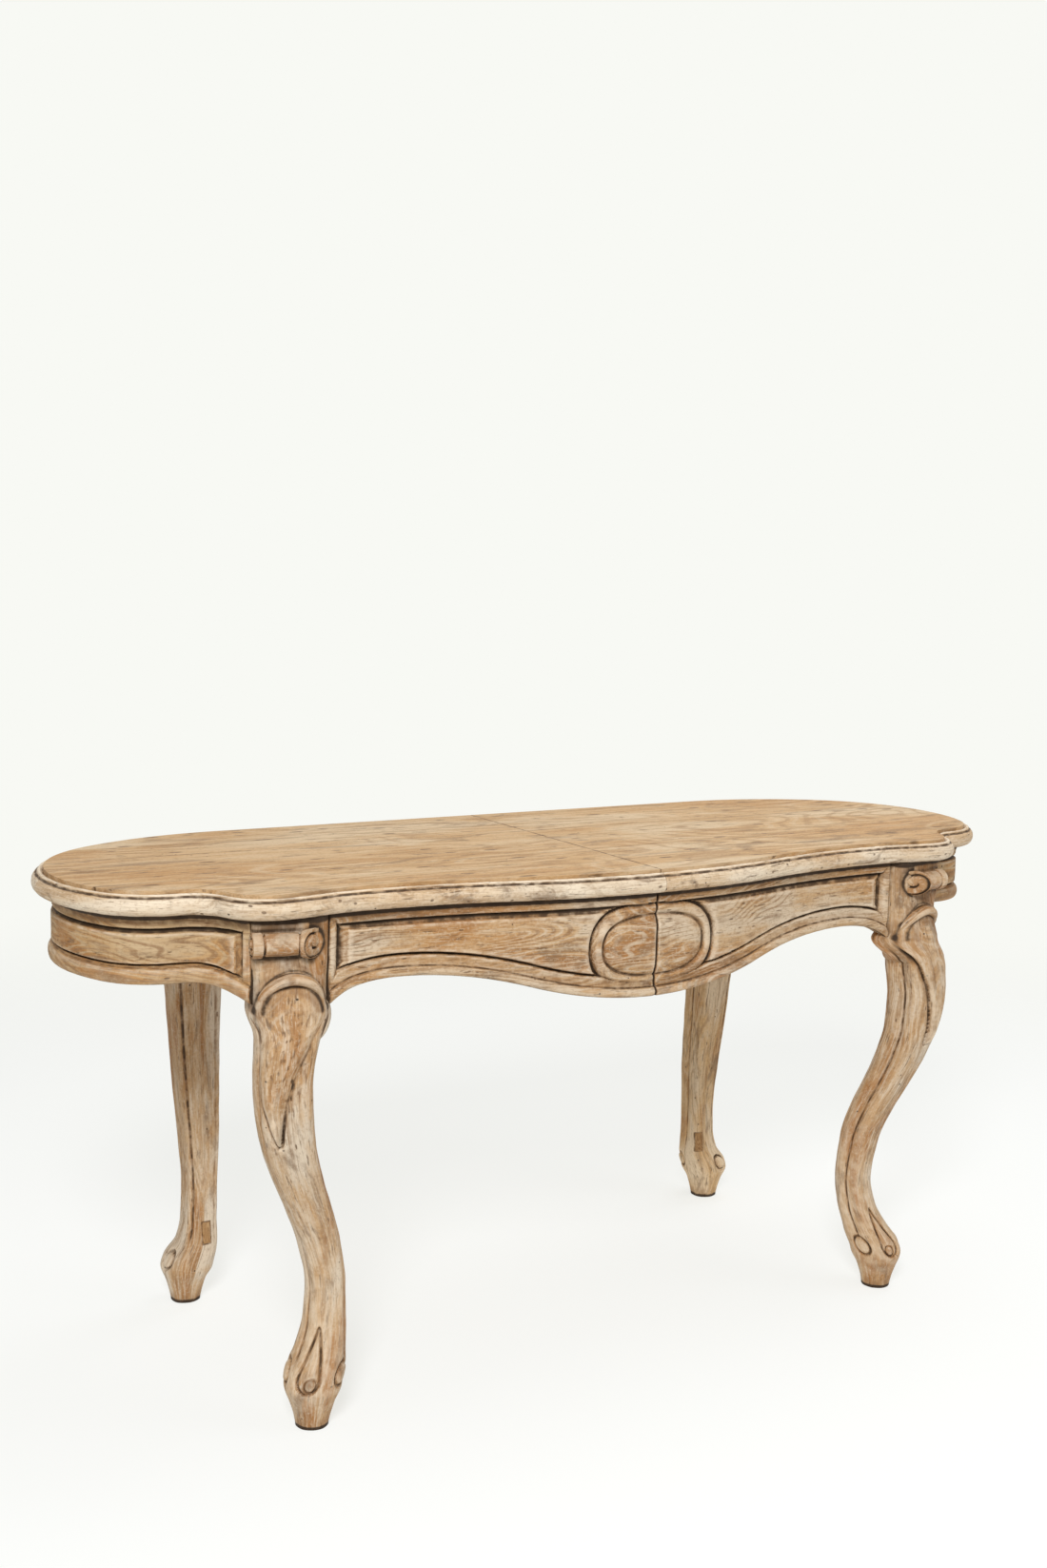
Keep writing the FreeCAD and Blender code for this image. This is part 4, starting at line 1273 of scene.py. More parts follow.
# painted shadow at the foot's lower rim, and a soft darkening towards the bottom
footShade = {"rim": (0.0060, 0.0030), "soft": (0.036, 0.006), "softShare": 0.40}
bleachBelow = (0.38, 0.20)  # heights at which the lower bleach starts and is full
bleachSpares = (0.40, 0.05)  # stored hollow above which nothing is bleached
grainGirth = 0.038  # metres per radian, for the grain round a leg


def legRings(look, post, relief, marks):
    columns, isFront = look["columns"], "throat" in look
    heights = np.linspace(0, plan["underTop"], look["rows"])
    angles = np.linspace(0, 2 * math.pi, columns, endpoint=False)
    angles = np.where(angles > math.pi, angles - 2 * math.pi, angles)
    across, inward = headingOf(post["turn"]), headingOf(90 + post["turn"])
    stations = look["stations"]
    lifted = np.minimum(heights, stations[-1][0])
    values = [stationCurve(lifted, stations, column) for column in range(1, 6)]
    centre = np.stack(values[:2], axis=1) - post["middle"]
    halfWide, halfDeep, power = [value[None, :] for value in values[2:]]
    angle, level = angles[:, None], heights[None, :]
    low = ringRadius(angle, halfWide, halfDeep, halfDeep, power)
    carved = relief(angle, low, level, marks)
    lowAcross = (low + carved) * np.sin(angle) + (centre @ across)[None, :]
    lowInward = -(low + carved) * np.cos(angle) + (centre @ inward)[None, :]
    halfPost = post["width"] / 2
    if isFront:
        throat = np.array(look["throat"])
        deep, behind, outer, inner = [
            np.interp(heights, throat[:, 0], throat[:, column])[None, :] for column in range(1, 5)]
        corner = np.where(np.cos(angle) < 0, postPower, np.where(np.sin(angle) > 0, outer, inner))
        upperRing = ringRadius(angle, halfPost, deep, behind, corner)
    else:
        square = ringRadius(angle, halfPost, post["depth"] / 2, post["depth"] / 2, postPower)
        upperRing = np.repeat(square, len(heights), axis=1)
    postAside = upperRing * np.sin(angle)
    postBehind = -upperRing * np.cos(angle)
    upper = smooth(*look["blend"], heights)[None, :]
    shade = underBoards(level) * np.ones_like(upperRing)
    # painted shadow along the lower rim of the foot, and the foot darker towards the bottom
    shade += contactLine * smooth(*footShade["rim"], level)
    shade += footShade["softShare"] * smooth(*footShade["soft"], level)
    swell = np.zeros_like(upperRing)
    if isFront:
        shade += kneeShade(angle, level, postAside, marks)
        swell, earShade = earSwell(angle, level, marks["ears"])
        shade += earShade
    acrossAt = lowAcross * (1 - upper) + postAside * upper + swell
    inwardAt = lowInward * (1 - upper) + postBehind * upper
    points = np.empty((columns, len(heights), 3))
    points[:, :, :2] = post["middle"] + acrossAt[:, :, None] * across + inwardAt[:, :, None] * inward
    points[:, :, 2] = level
    # hollows of the carving, dark wax and painted shade together, and the painted shade gathered above
    hollow = hollowness(carved, wrap=True) * (1 - upper) + shade
    # paler low down where the wood is limed, and all over by the whole-leg share, painted light on the right
    # back leg, except in the cuts
    wholeLeg, lowLeg = marks["bleach"]
    hollow -= (wholeLeg + lowLeg * smooth(*bleachBelow, level)) * smooth(*bleachSpares, hollow)
    hollow = np.clip(hollow, *hollowRange)
    girth = angle * grainGirth * np.ones_like(carved)
    grain = np.stack([np.broadcast_to(heights, carved.shape).ravel(), girth.ravel(), carved.ravel()], axis=1)
    return points, hollow, grain


def addRings(parts, points, hollow, grain):
    parts.add(points.reshape(-1, 3), tubeFaces(*points.shape[:2]), hollow.ravel(), grain)


acrossAxis, inwardAxis = np.array([*postAcross, 0]), np.array([*postInward, 0])
upAxis = np.array([0, 0, 1])


def addScroll(parts, outerEnd, length):
    # a rolled bar across the post, with a spiral cut into both ends; the inner end is cut aslant
    around, rows, rings = scroll["around"], scroll["rows"], scroll["rings"]
    reach = np.linspace(0, length, rows)
    radius = np.interp(reach / length, *zip(*scroll["profile"]))
    turnsRound = np.linspace(0, 2 * math.pi, around, endpoint=False)
    ahead = frontPost["depth"] / 2 + scroll["forward"]
    origin = np.array([*(frontPost["middle"] - postInward * ahead), scroll["height"]])
    start = outerEnd - length

    def spot(place, radiusHere, angle):
        forward = np.sin(angle) * radiusHere
        shift = scroll["slant"] * forward * (1 - smooth(0.0, scroll["slantOver"], place))
        return (
            origin + (start + place + shift)[..., None] * acrossAxis
            + (np.cos(angle) * radiusHere)[..., None] * upAxis - forward[..., None] * inwardAxis
        )

    angleGrid, reachGrid = np.meshgrid(turnsRound, reach, indexing="ij")
    radiusGrid = np.repeat(radius[None, :], around, axis=0)
    body = spot(reachGrid, radiusGrid, angleGrid)
    # painted shade where it sits on the post, underneath and in the collars, painted highlight on top
    seated = shadeStep(np.sin(angleGrid), *scroll["seat"]) + shadeStep(np.cos(angleGrid), *scroll["under"])
    wearAndHighlight = shadeStep(np.cos(angleGrid - scroll["highlightTurn"]), *scroll["wearAndHighlight"])
    collars = scroll["collarShade"] * hollowness(radiusGrid, wrap=True)
    hollow = np.clip(collars + seated - wearAndHighlight, *scroll["barRange"])
    girth = angleGrid * scroll["barGrain"]
    grain = np.stack([reachGrid.ravel(), girth.ravel(), radiusGrid.ravel()], axis=1)
    parts.add(body.reshape(-1, 3), gridFaces(around, rows, wrap=True), hollow.ravel(), grain)
    # end faces: polar grids whose depth follows a spiral
    shares = np.linspace(1, scroll["eye"], rings)
    angles, share = np.meshgrid(turnsRound, shares, indexing="ij")
    for place, outward, rim in ((0.0, -1, scroll["profile"][0][1]), (length, 1, scroll["profile"][-1][1])):
        phase = share * scroll["turns"] + outward * angles / (2 * math.pi)
        near = np.abs(phase - np.round(phase)) / scroll["turns"] * rim
        cut = scroll["cut"] * dip(near, scroll["cutWidth"])
        cut = cut * smooth(*scroll["cutInner"], share) * smooth(*scroll["cutOuter"], share)
        depth = np.where(share > scroll["rim"], 0, scroll["bulge"] * (1 - share) - cut)
        points = spot(place + outward * depth, share * rim, angles)
        faces = gridFaces(around, rings, wrap=True)
        faces.append(tuple(column * rings + rings - 1 for column in range(around)))
        if outward < 0:
            faces = [face[::-1] for face in faces]
        hollow = np.clip(cut / scroll["darkCut"] - scroll["paleEnd"], *scroll["endRange"])
        grainOut, grainRound = scroll["endGrain"]
        grain = np.stack([share.ravel() * grainOut, angles.ravel() * grainRound, depth.ravel()], axis=1)
        parts.add(points.reshape(-1, 3), faces, hollow.ravel(), grain)


def addBrow(parts):
    # a rounded band that follows the upper rim of the knee
    steps, around, overrun = brow["steps"], brow["around"], brow["overrun"]
    travel = np.linspace(-overrun, math.pi + overrun, steps)
    origin = np.array([*(frontPost["middle"] - postInward * frontPost["depth"] / 2), 0])
    sideways = brow["wide"] * np.cos(travel)
    upwards = brow["low"] + brow["tall"] * np.sin(travel)
    out = np.stack([np.cos(travel) / brow["wide"], np.sin(travel) / brow["tall"]], axis=1)
    out /= np.linalg.norm(out, axis=1)[:, None]
    low, high = brow["taper"]
    taper = smooth(low, high, travel) * smooth(math.pi - low, math.pi - high, travel)
    arched = np.clip(np.sin(travel), 0, 1)
    everywhere, byTaper, byArch = brow["thickShares"]
    thick = brow["thick"] * (everywhere + byTaper * taper + byArch * arched)
    # the band lies back at both ends, round the sides of the knee
    forward = brow["ends"] + (brow["top"] - brow["ends"]) * arched ** brow["archPower"]
    atEnds, inMiddle = brow["deepShares"]
    deep = brow["deep"] * (atEnds + inMiddle * taper)
    grainAlong, grainRound = brow["grain"]
    points, hollow, grain = [], [], []
    for angle in np.linspace(0, 2 * math.pi, around, endpoint=False):
        aside = thick * math.cos(angle)
        ahead = forward + deep * math.sin(angle)
        points.append(
            origin + (sideways + out[:, 0] * aside)[:, None] * acrossAxis
            + (upwards + out[:, 1] * aside)[:, None] * upAxis - ahead[:, None] * inwardAxis
        )
        facing = math.sin(angle)
        # painted shade where it sits on the post, painted highlight on its front
        shade = shadeStep(facing, *brow["seat"]) - shadeStep(facing, *brow["wearAndHighlight"])
        hollow.append(np.full(steps, shade))
        girth = np.full(steps, angle * grainRound)
        grain.append(np.stack([travel * grainAlong, girth, np.zeros(steps)], axis=1))
    parts.add(np.vstack(points), tubeFaces(around, steps), np.concatenate(hollow), np.vstack(grain))


backLeg = {
    "stations": [
        (0.000, 0.5240, 0.2585, 0.0230, 0.0230, 2.1),
        (0.012, 0.5240, 0.2585, 0.0250, 0.0250, 2.1),
        (0.034, 0.5240, 0.2585, 0.0315, 0.0315, 2.1),
        (0.058, 0.5220, 0.2585, 0.0408, 0.0408, 2.3),
        (0.072, 0.5180, 0.2585, 0.0402, 0.0402, 2.4),
        (0.100, 0.5060, 0.2580, 0.0310, 0.0310, 3.0),
        (0.135, 0.5025, 0.2580, 0.0255, 0.0255, 4.5),
        (0.190, 0.5015, 0.2585, 0.0243, 0.0243, 6.5),
        (0.260, 0.5035, 0.2580, 0.0275, 0.0262, 8.0),
        (0.350, 0.5090, 0.2560, 0.0315, 0.0278, 9.0),
        (0.430, 0.5130, 0.2545, 0.0345, 0.0285, 10.0),
        (0.510, 0.5165, 0.2510, 0.0385, 0.0288, 11.0),
        (0.602, 0.5215, 0.2410, 0.0425, 0.0290, 12.0),
    ],
    "columns": 208,
    "rows": 330,
    "blend": (0.590, 0.602),
    "discs": (0.071, 0.0132),
    # height and turn of the corner that the cut lines follow
    "corner": [(0.12, 139), (0.19, 139), (0.35, 135), (0.60, 129)],
    "lineFoot": (0.085, 0.12),
    "lineTop": (0.625, 0.600),
    "line": 0.0034,
    "lineWidth": 0.0026,
    "valley": 0.0014,
    "valleyWidth": 0.007,
    "handWork": (37, 110, 0.0006),
    "grainAt": (5.3, 2.2),
    "sharp": 60,
}

# turns in degrees from the back face, outer then inner side: discs on the feet, and cut lines with their
# strength; place of the plug, how much paler the whole leg and its limed lower part are drawn, and the wood
backMarks = {
    "left": {
        "discs": (100, 94), "lines": ((0, 1.0), (4, 0.4)), "plug": 0.500, "bleach": (0.0, 0.06),
        "wood": "leg",
    },
    # the right back leg stands in shade: its paler whole leg and its golden wood are partly painted light
    "right": {
        "discs": (156, 64), "lines": ((0, 0.6), (-48, 0.8)), "plug": 0.488, "bleach": (0.12, 0.10),
        "wood": "goldenLeg",
    },
}


def backLegRelief(angle, radius, heights, marks):
    # angle 0 faces the back; a cut line runs beside each front corner
    look = backLeg
    total = discRelief(angle, radius, heights, marks["discs"], *look["discs"])
    reach = smooth(*look["lineFoot"], heights) * smooth(*look["lineTop"], heights)
    corner = np.interp(heights, *zip(*look["corner"]))
    for sign, (shift, strength) in zip((-1, 1), marks["lines"]):
        distance = (angle - sign * np.radians(corner + shift)) * radius
        line = look["line"] * dip(distance, look["lineWidth"])
        valley = look["valley"] * dip(distance, look["valleyWidth"])
        total = total - reach * strength * (line + valley)
    return total + waveNoise(angle * legGirth, heights, *look["handWork"])


plug = {
    "height": 0.1150,
    "wide": 0.0128,
    "tall": 0.0335,
    "deep": 0.012,
    "proud": 0.0008,
    "hollow": 0.12,
    "fineGrain": 3,
    "grainAt": (7.7, 0.4),
    "sharp": 40,
    "columns": 9,
    "rows": 19,
    "jointShade": 1.1,
    "jointAt": 0.0006,
    "jointWidth": 0.0016,
    "inFront": 0.010,
}


def plugJoint(points, middle):
    # dark joint round the plug, on the front of the leg
    aside = np.abs(points[:, :, 0] - middle) - plug["wide"] / 2
    above = np.abs(points[:, :, 2] - plug["height"]) - plug["tall"] / 2
    inFront = points[:, :, 1] < points[:, :, 1].mean(axis=0)[None, :] - plug["inFront"]
    return plug["jointShade"] * inFront * dip(np.maximum(aside, above) - plug["jointAt"], plug["jointWidth"])


def plugPiece(parts, ringPoints, middle):
    # an oblong plug let into the front of the leg, its face just proud of the wood
    columns, rows = plug["columns"], plug["rows"]
    across = middle + np.linspace(-0.5, 0.5, columns) * plug["wide"]
    rises = plug["height"] + np.linspace(-0.5, 0.5, rows) * plug["tall"]
    face = np.empty((columns, rows, 3))
    for row, rise in enumerate(rises):
        ring = ringPoints[:, np.argmin(np.abs(ringPoints[0, :, 2] - rise))]
        front = ring[ring[:, 1] < ring[:, 1].mean()]
        front = front[np.argsort(front[:, 0])]
        face[:, row, 0] = across
        face[:, row, 1] = np.interp(across, front[:, 0], front[:, 1]) - plug["proud"]
        face[:, row, 2] = rise
    back = face + np.array([0, plug["deep"], 0])
    faces = gridFaces(columns, rows)
    total = columns * rows
    faces += [tuple(total + index for index in quad[::-1]) for quad in faces]
    border = [column * rows for column in range(columns)]
    border += [(columns - 1) * rows + row for row in range(1, rows)]
    border += [column * rows + rows - 1 for column in range(columns - 2, -1, -1)]
    border += list(range(rows - 2, 0, -1))
    for here, beyond in zip(border, border[1:] + border[:1]):
        faces.append((beyond, here, total + here, total + beyond))
    points = np.vstack([face.reshape(-1, 3), back.reshape(-1, 3)])
    fine = plug["fineGrain"]
    grain = np.stack([points[:, 2] * fine, points[:, 0] * fine, points[:, 1]], axis=1)
    parts.add(points, faces, np.full(2 * total, plug["hollow"]), grain)


for half, side in halves.items():
    marks = legMarks[half]
    parts = MeshParts()
    addRings(parts, *legRings(frontLeg, frontPost, frontLegRelief, marks))
    addScroll(parts, *marks["scroll"])
    addBrow(parts)
    piece = parts.build(f"carvedFrontLeg_{half}", side, woods["leg"], frontLeg)
    seatPiece(piece, half, [f"front_leg_{half}"])

    marks = backMarks[half]
    parts = MeshParts()
    points, hollow, grain = legRings(backLeg, backPost, backLegRelief, marks)
    addRings(parts, points, np.clip(hollow + plugJoint(points, marks["plug"]), *hollowRange), grain)
    piece = parts.build(f"carvedBackLeg_{half}", side, woods[marks["wood"]], backLeg)
    seatPiece(piece, half, [f"back_leg_{half}"])

    parts = MeshParts()
    plugPiece(parts, points, marks["plug"])
    piece = parts.build(f"oblongPlug_{half}", side, woods["plug"], plug)
    seatPiece(piece, half, [f"mortise_plug_{half}"])
print("legs carved")


# geometry trees: named inputs first, real instances and the surface last

def newTree(name, sockets):
    tree = bpy.data.node_groups.new(name, "GeometryNodeTree")
    for label, kind in sockets.items():
        tree.interface.new_socket(label, in_out="INPUT", socket_type=f"NodeSocket{kind}")
    tree.interface.new_socket("Mesh", in_out="OUTPUT", socket_type="NodeSocketGeometry")
    return tree, tree.nodes.new("NodeGroupInput").outputs


def finishTree(tree, geometry, surface):
    real = addNode(tree, "GeometryNodeRealizeInstances", {0: geometry})
    coat = addNode(tree, "GeometryNodeSetMaterial", {"Geometry": real.outputs[0], "Material": surface})
    addNode(tree, "NodeGroupOutput", {0: coat.outputs[0]})
    return tree


def grownPiece(name, holder, tree, values):
    # the tree's result on the holder as a plain mesh piece; the holder goes
    modifier = holder.modifiers.new("tree", "NODES")
    modifier.node_group = tree
    for item in tree.interface.items_tree:
        if item.item_type == "SOCKET" and item.in_out == "INPUT" and item.name in values:
            modifier[item.identifier] = values[item.name]
    evaluated = holder.evaluated_get(bpy.context.evaluated_depsgraph_get())
    mesh = bpy.data.meshes.new_from_object(evaluated)
    mesh.name = name
    piece = linkedObject(name, mesh)
    bpy.data.objects.remove(holder, do_unlink=True)
    return piece


# edge moulding: a profile swept along the edge of the boards

moulding = {
    # outward from the edge of the boards, height; a small groove, a fillet, a broad round nose
    "profile": [
        (-0.0015, 0.7545), (0.0006, 0.7538), (0.0018, 0.7530), (0.0030, 0.7544), (0.0042, 0.7560),
        (0.0060, 0.7562), (0.0082, 0.7552), (0.0096, 0.7528), (0.0102, 0.7510), (0.0112, 0.7512),
        (0.0130, 0.7502), (0.0150, 0.7478), (0.0165, 0.7442), (0.0170, 0.7400), (0.0166, 0.7360),
        (0.0150, 0.7318), (0.0125, 0.7288), (0.0090, 0.7268), (0.0040, 0.7262), (-0.0015, 0.7262),
    ],
    # share of the way round the profile, and the painted light there: painted shade in the grooves, the quirk
    # and the underside, painted highlight on the fillet and the nose
    "shadeAndHighlightPlaces": [
        (0.0, 0.9), (0.050, 0.6), (0.085, -0.7), (0.135, -0.7), (0.165, 0.9), (0.19, 1.35),
        (0.215, 0.7), (0.25, -0.1), (0.34, -0.3), (0.45, -0.1), (0.55, 0.3), (1.0, 0.5),
    ],
    "joint": 0.030,
    "wear": 0.0015,
    "wearScale": 55.0,
    "wearMiddle": 0.72,
    "grainStart": {"front": 0.0, "back": 2.5},
    "grainApart": 6.0,
    "points": 560,
}
curveSpan, curveLow = 3.0, -1.0  # a curve node holds 0 to 1, which stands for a hollow of -1 to 2


def curveObject(name, points, cyclic):
    curve = bpy.data.curves.new(name, "CURVE")
    curve.dimensions = "3D"
    spline = curve.splines.new("POLY")
    spline.points.add(len(points) - 1)
    for target, point in zip(spline.points, points):
        target.co = (*point, 1)
    spline.use_cyclic_u = cyclic
    return linkedObject(name, curve)


def sweepTree():
    tree, source = newTree("sweepProfile", {
        "Path": "Geometry", "Profile": "Object", "Wear": "Float", "Grain Start": "Float",
        "Surface": "Material",
    })

    def captured(curve):
        # length and factor along a curve, kept for its sweep
        store = addNode(tree, "GeometryNodeCaptureAttribute")
        parameter = tree.nodes.new("GeometryNodeSplineParameter")
        tree.links.new(curve, store.inputs["Geometry"])
        for label in ("Length", "Factor"):
            store.capture_items.new("FLOAT", label)
            tree.links.new(parameter.outputs[label], store.inputs[label])
        return store.outputs

    def stored(geometry, label, kind, value):
        inputs = {"Geometry": geometry, "Name": label, "Value": value}
        node = addNode(tree, "GeometryNodeStoreNamedAttribute", inputs, data_type=kind, domain="POINT")
        return node.outputs[0]

    upright = addNode(tree, "GeometryNodeSetCurveNormal", {0: source["Path"]}, mode="Z_UP")
    path = captured(upright.outputs[0])
    info = addNode(tree, "GeometryNodeObjectInfo", {"Object": source["Profile"]}, transform_space="ORIGINAL")
    profile = captured(info.outputs["Geometry"])
    sweep = addNode(tree, "GeometryNodeCurveToMesh", {
        "Curve": path["Geometry"], "Profile Curve": profile["Geometry"], "Fill Caps": True,
    })

    # uneven wear: points move along their normal by a fixed noise
    position = tree.nodes.new("GeometryNodeInputPosition").outputs[0]
    inputs = {"Vector": position, "Scale": moulding["wearScale"], "Detail": 4.0}
    noise = addNode(tree, "ShaderNodeTexNoise", inputs).outputs["Fac"]
    centred = mathNode(tree, "SUBTRACT", noise, moulding["wearMiddle"])
    amount = mathNode(tree, "MULTIPLY", centred, source["Wear"])
    normal = tree.nodes.new("GeometryNodeInputNormal").outputs[0]
    offset = addNode(tree, "ShaderNodeVectorMath", {0: normal, "Scale": amount}, operation="SCALE").outputs[0]
    worn = addNode(tree, "GeometryNodeSetPosition", {"Geometry": sweep.outputs[0], "Offset": offset})

    # stored values for the surface: place along the grain, and the painted shade and highlight round the
    # profile
    along = mathNode(tree, "ADD", path["Length"], source["Grain Start"])
    place = addNode(tree, "ShaderNodeCombineXYZ", {0: along, 1: profile["Length"]}).outputs[0]
    grained = stored(worn.outputs[0], "grainPlace", "FLOAT_VECTOR", place)
    shape = addNode(tree, "ShaderNodeFloatCurve", {"Value": profile["Factor"]})
    curve = shape.mapping.curves[0]
    levels = [(at, (value - curveLow) / curveSpan) for at, value in moulding["shadeAndHighlightPlaces"]]
    curve.points[0].location, curve.points[-1].location = levels[0], levels[-1]
    for at, level in levels[1:-1]:
        curve.points.new(at, level)
    shape.mapping.update()
    hollow = mathNode(tree, "MULTIPLY_ADD", shape.outputs[0], curveSpan, curveLow)
    shaded = stored(grained, "hollow", "FLOAT", hollow)
    soft = addNode(tree, "GeometryNodeSetShadeSmooth", {"Geometry": shaded})
    return finishTree(tree, soft.outputs[0], source["Surface"])


mouldingParts = {
    "front": lambda moved: (moved[:, 0] >= plan["halfGap"]) & (moved[:, 1] <= moulding["joint"]),
    "back": lambda moved: (moved[:, 0] >= plan["halfGap"]) & (moved[:, 1] >= moulding["joint"]),
}
# the sweep lays the second coordinate of the profile downwards
profilePoints = [(x, plan["underTop"] - z, 0) for x, z in moulding["profile"]]
mouldingProfile = curveObject("mouldingProfile", profilePoints, True)
sweep = sweepTree()
for half, side in halves.items():
    for part, keep in mouldingParts.items():
        points, normals, along = offsetRun(0.0, keep, moulding["points"])
        points[0 if part == "front" else -1, 0] = plan["halfGap"]
        path = [(side * x, y, plan["underTop"]) for x, y in points]
        if side < 0:
            path = path[::-1]
        holder = curveObject(f"mouldingPath_{part}_{half}", path, False)
        piece = grownPiece(f"edgeMoulding_{part}_{half}", holder, sweep, {
            "Profile": mouldingProfile, "Wear": moulding["wear"], "Surface": woods["edge"],
            "Grain Start": moulding["grainStart"][part] + moulding["grainApart"] * side,
        })
        seatPiece(piece, half, [f"edge_moulding_{part}_{half}"])
bpy.data.objects.remove(mouldingProfile, do_unlink=True)
print("edge moulding swept")


# slotted screws under the top

screwLook = {
    "headRadius": 0.0045,
    "rimRadius": 0.97,
    "rimHeight": 0.0006,
    "headHeight": 0.004,
    "shankRadius": 0.00225,
    "threads": 16,
    "threadDepth": 0.80,
    "tip": 0.002,
    "tipRadius": 0.0004,
    "headMiddle": 0.0005,
    "slotWidth": 0.0011,
    "slotDepth": 0.0012,
    "around": 28,
    "seeds": {"block_screws": 5, "runner_screws": 6},
}


def screwMesh(length):
    # turned shape with a slot across the head; head down, tip up
    look = screwLook
    head, shank, under = look["headRadius"], look["shankRadius"], look["headHeight"]
    rim = (head * look["rimRadius"], look["rimHeight"])
    profile = [(look["headMiddle"], 0.0), (head, 0.0), rim, (shank, under)]
    for number in range(look["threads"]):
        rise = under + (length - under - look["tip"]) * (number + 0.5) / look["threads"]
        profile.append((shank * (look["threadDepth"] if number % 2 else 1.0), rise))
    profile.append((look["tipRadius"], length))
    points = []
    for angle in np.linspace(0, 2 * math.pi, look["around"], endpoint=False):
        for radius, rise in profile:
            x, y = radius * math.cos(angle), radius * math.sin(angle)
            inSlot = rise == 0.0 and abs(y) < look["slotWidth"]
            points.append((x, y, look["slotDepth"] if inSlot else rise))
    mesh = bpy.data.meshes.new("slottedScrew")
    mesh.from_pydata(points, [], tubeFaces(look["around"], len(profile)))
    mesh.materials.append(screwSteel)
    return mesh


def scatterTree():
    tree, source = newTree("placeScrews", {
        "Places": "Geometry", "Screw": "Object", "Seed": "Int", "Surface": "Material",
    })
    inputs = {"Object": source["Screw"], "As Instance": True}
    info = addNode(tree, "GeometryNodeObjectInfo", inputs, transform_space="ORIGINAL")
    spin = addNode(tree, "FunctionNodeRandomValue", {"Seed": source["Seed"]}, data_type="FLOAT")
    floats = [socket for socket in spin.inputs if socket.type == "VALUE"]
    floats[0].default_value, floats[1].default_value = 0.0, math.pi
    number = [socket for socket in spin.outputs if socket.type == "VALUE" and socket.enabled][0]
    turn = addNode(tree, "ShaderNodeCombineXYZ", {2: number})
    placed = addNode(tree, "GeometryNodeInstanceOnPoints", {
        "Points": source["Places"], "Instance": info.outputs["Geometry"], "Rotation": turn.outputs[0],
    })
    return finishTree(tree, placed.outputs[0], source["Surface"])


def screwPlaces(node):
    # middle of each separate screw of a CAD group at its lowest height, and its length
    mesh = node.data
    group = list(range(len(mesh.vertices)))

    def root(index):
        while group[index] != index:
            group[index] = group[group[index]]
            index = group[index]
        return index

    # points at one place, to a hundredth of a millimetre, belong to one screw
    spotOf = {}
    for vertex in mesh.vertices:
        key = tuple(round(value, 5) for value in vertex.co)
        if key in spotOf:
            group[root(vertex.index)] = root(spotOf[key])
        spotOf[key] = vertex.index
    for edge in mesh.edges:
        group[root(edge.vertices[0])] = root(edge.vertices[1])
    clusters = {}
    for vertex in mesh.vertices:
        clusters.setdefault(root(vertex.index), []).append(vertex.co)
    places = []
    for points in clusters.values():
        lows, highs = [[pick(values) for values in zip(*points)] for pick in (min, max)]
        middleX, middleY = [(lows[axis] + highs[axis]) / 2 for axis in (0, 1)]
        places.append(((middleX, middleY, lows[2]), highs[2] - lows[2]))
    return sorted(places)


scatter = scatterTree()
for half in halves:
    for group, seed in screwLook["seeds"].items():
        nodeName = f"{group}_{half}"
        places = screwPlaces(cadNodes[nodeName])
        screwModel = linkedObject("screwModel", screwMesh(places[0][1]))
        spotMesh = bpy.data.meshes.new("screwSpots")
        spotMesh.from_pydata([place for place, length in places], [], [])
        holder = linkedObject("screwSpots", spotMesh)
        values = {"Screw": screwModel, "Seed": seed, "Surface": screwSteel}
        piece = grownPiece(f"slottedScrews_{group}_{half}", holder, scatter, values)
        bpy.data.objects.remove(screwModel, do_unlink=True)
        seatPiece(piece, half, [nodeName])
print("screws placed")


# surfaces of the CAD nodes that stay

nodeWoods = {
    "top_board": "top", "back_apron": "board", "apron_pegs": "inner",
    "glue_blocks": "inner", "alignment_dowels": "inner", "runner": "inner",
}
for name, node in cadNodes.items():
    for key, wood in nodeWoods.items():
        if key in name and "screws" not in name:
            node.data.materials.clear()
            node.data.materials.append(woods[wood])
            break
print("boards and runners coated")


# floor, light and camera

stage = {
    "reach": 6.0,
    "drop": -0.0005,
    "fade": (1.6, 3.4),
    "matt": (0.30, 0.305, 0.32),
    "glow": 0.74,
    "white": (0.939, 0.947, 0.905),
    "ambient": (1.0, 0.985, 0.96),
    "ambientStrength": 0.29,
}


def floorMaterial():
    # matt with a glow of its own, so that shade stays pale; clear far out
    material, tree = emptyMaterial("paleFloor")
    matt = addNode(tree, "ShaderNodeBsdfDiffuse", {"Color": (*stage["matt"], 1)})
    glow = addNode(tree, "ShaderNodeEmission", {"Color": (*stage["white"], 1), "Strength": stage["glow"]})
    both = addNode(tree, "ShaderNodeAddShader", {0: matt.outputs[0], 1: glow.outputs[0]})
    clear = tree.nodes.new("ShaderNodeBsdfTransparent")
    coordinates = addNode(tree, "ShaderNodeTexCoord").outputs["Object"]
    reach = addNode(tree, "ShaderNodeVectorMath", {0: coordinates}, operation="LENGTH").outputs["Value"]
    fade = rangeNode(tree, reach, *stage["fade"])
    mixed = addNode(tree, "ShaderNodeMixShader", {0: fade, 1: both.outputs[0], 2: clear.outputs[0]})
    addNode(tree, "ShaderNodeOutputMaterial", {"Surface": mixed.outputs[0]})
    return material


floorMesh = bpy.data.meshes.new("floor")
corners = [(-1, -1), (1, -1), (1, 1), (-1, 1)]
floorPoints = [(x * stage["reach"], y * stage["reach"], stage["drop"]) for x, y in corners]
floorMesh.from_pydata(floorPoints, [], [(0, 1, 2, 3)])
floorMesh.materials.append(floorMaterial())
floor = linkedObject("floor", floorMesh)

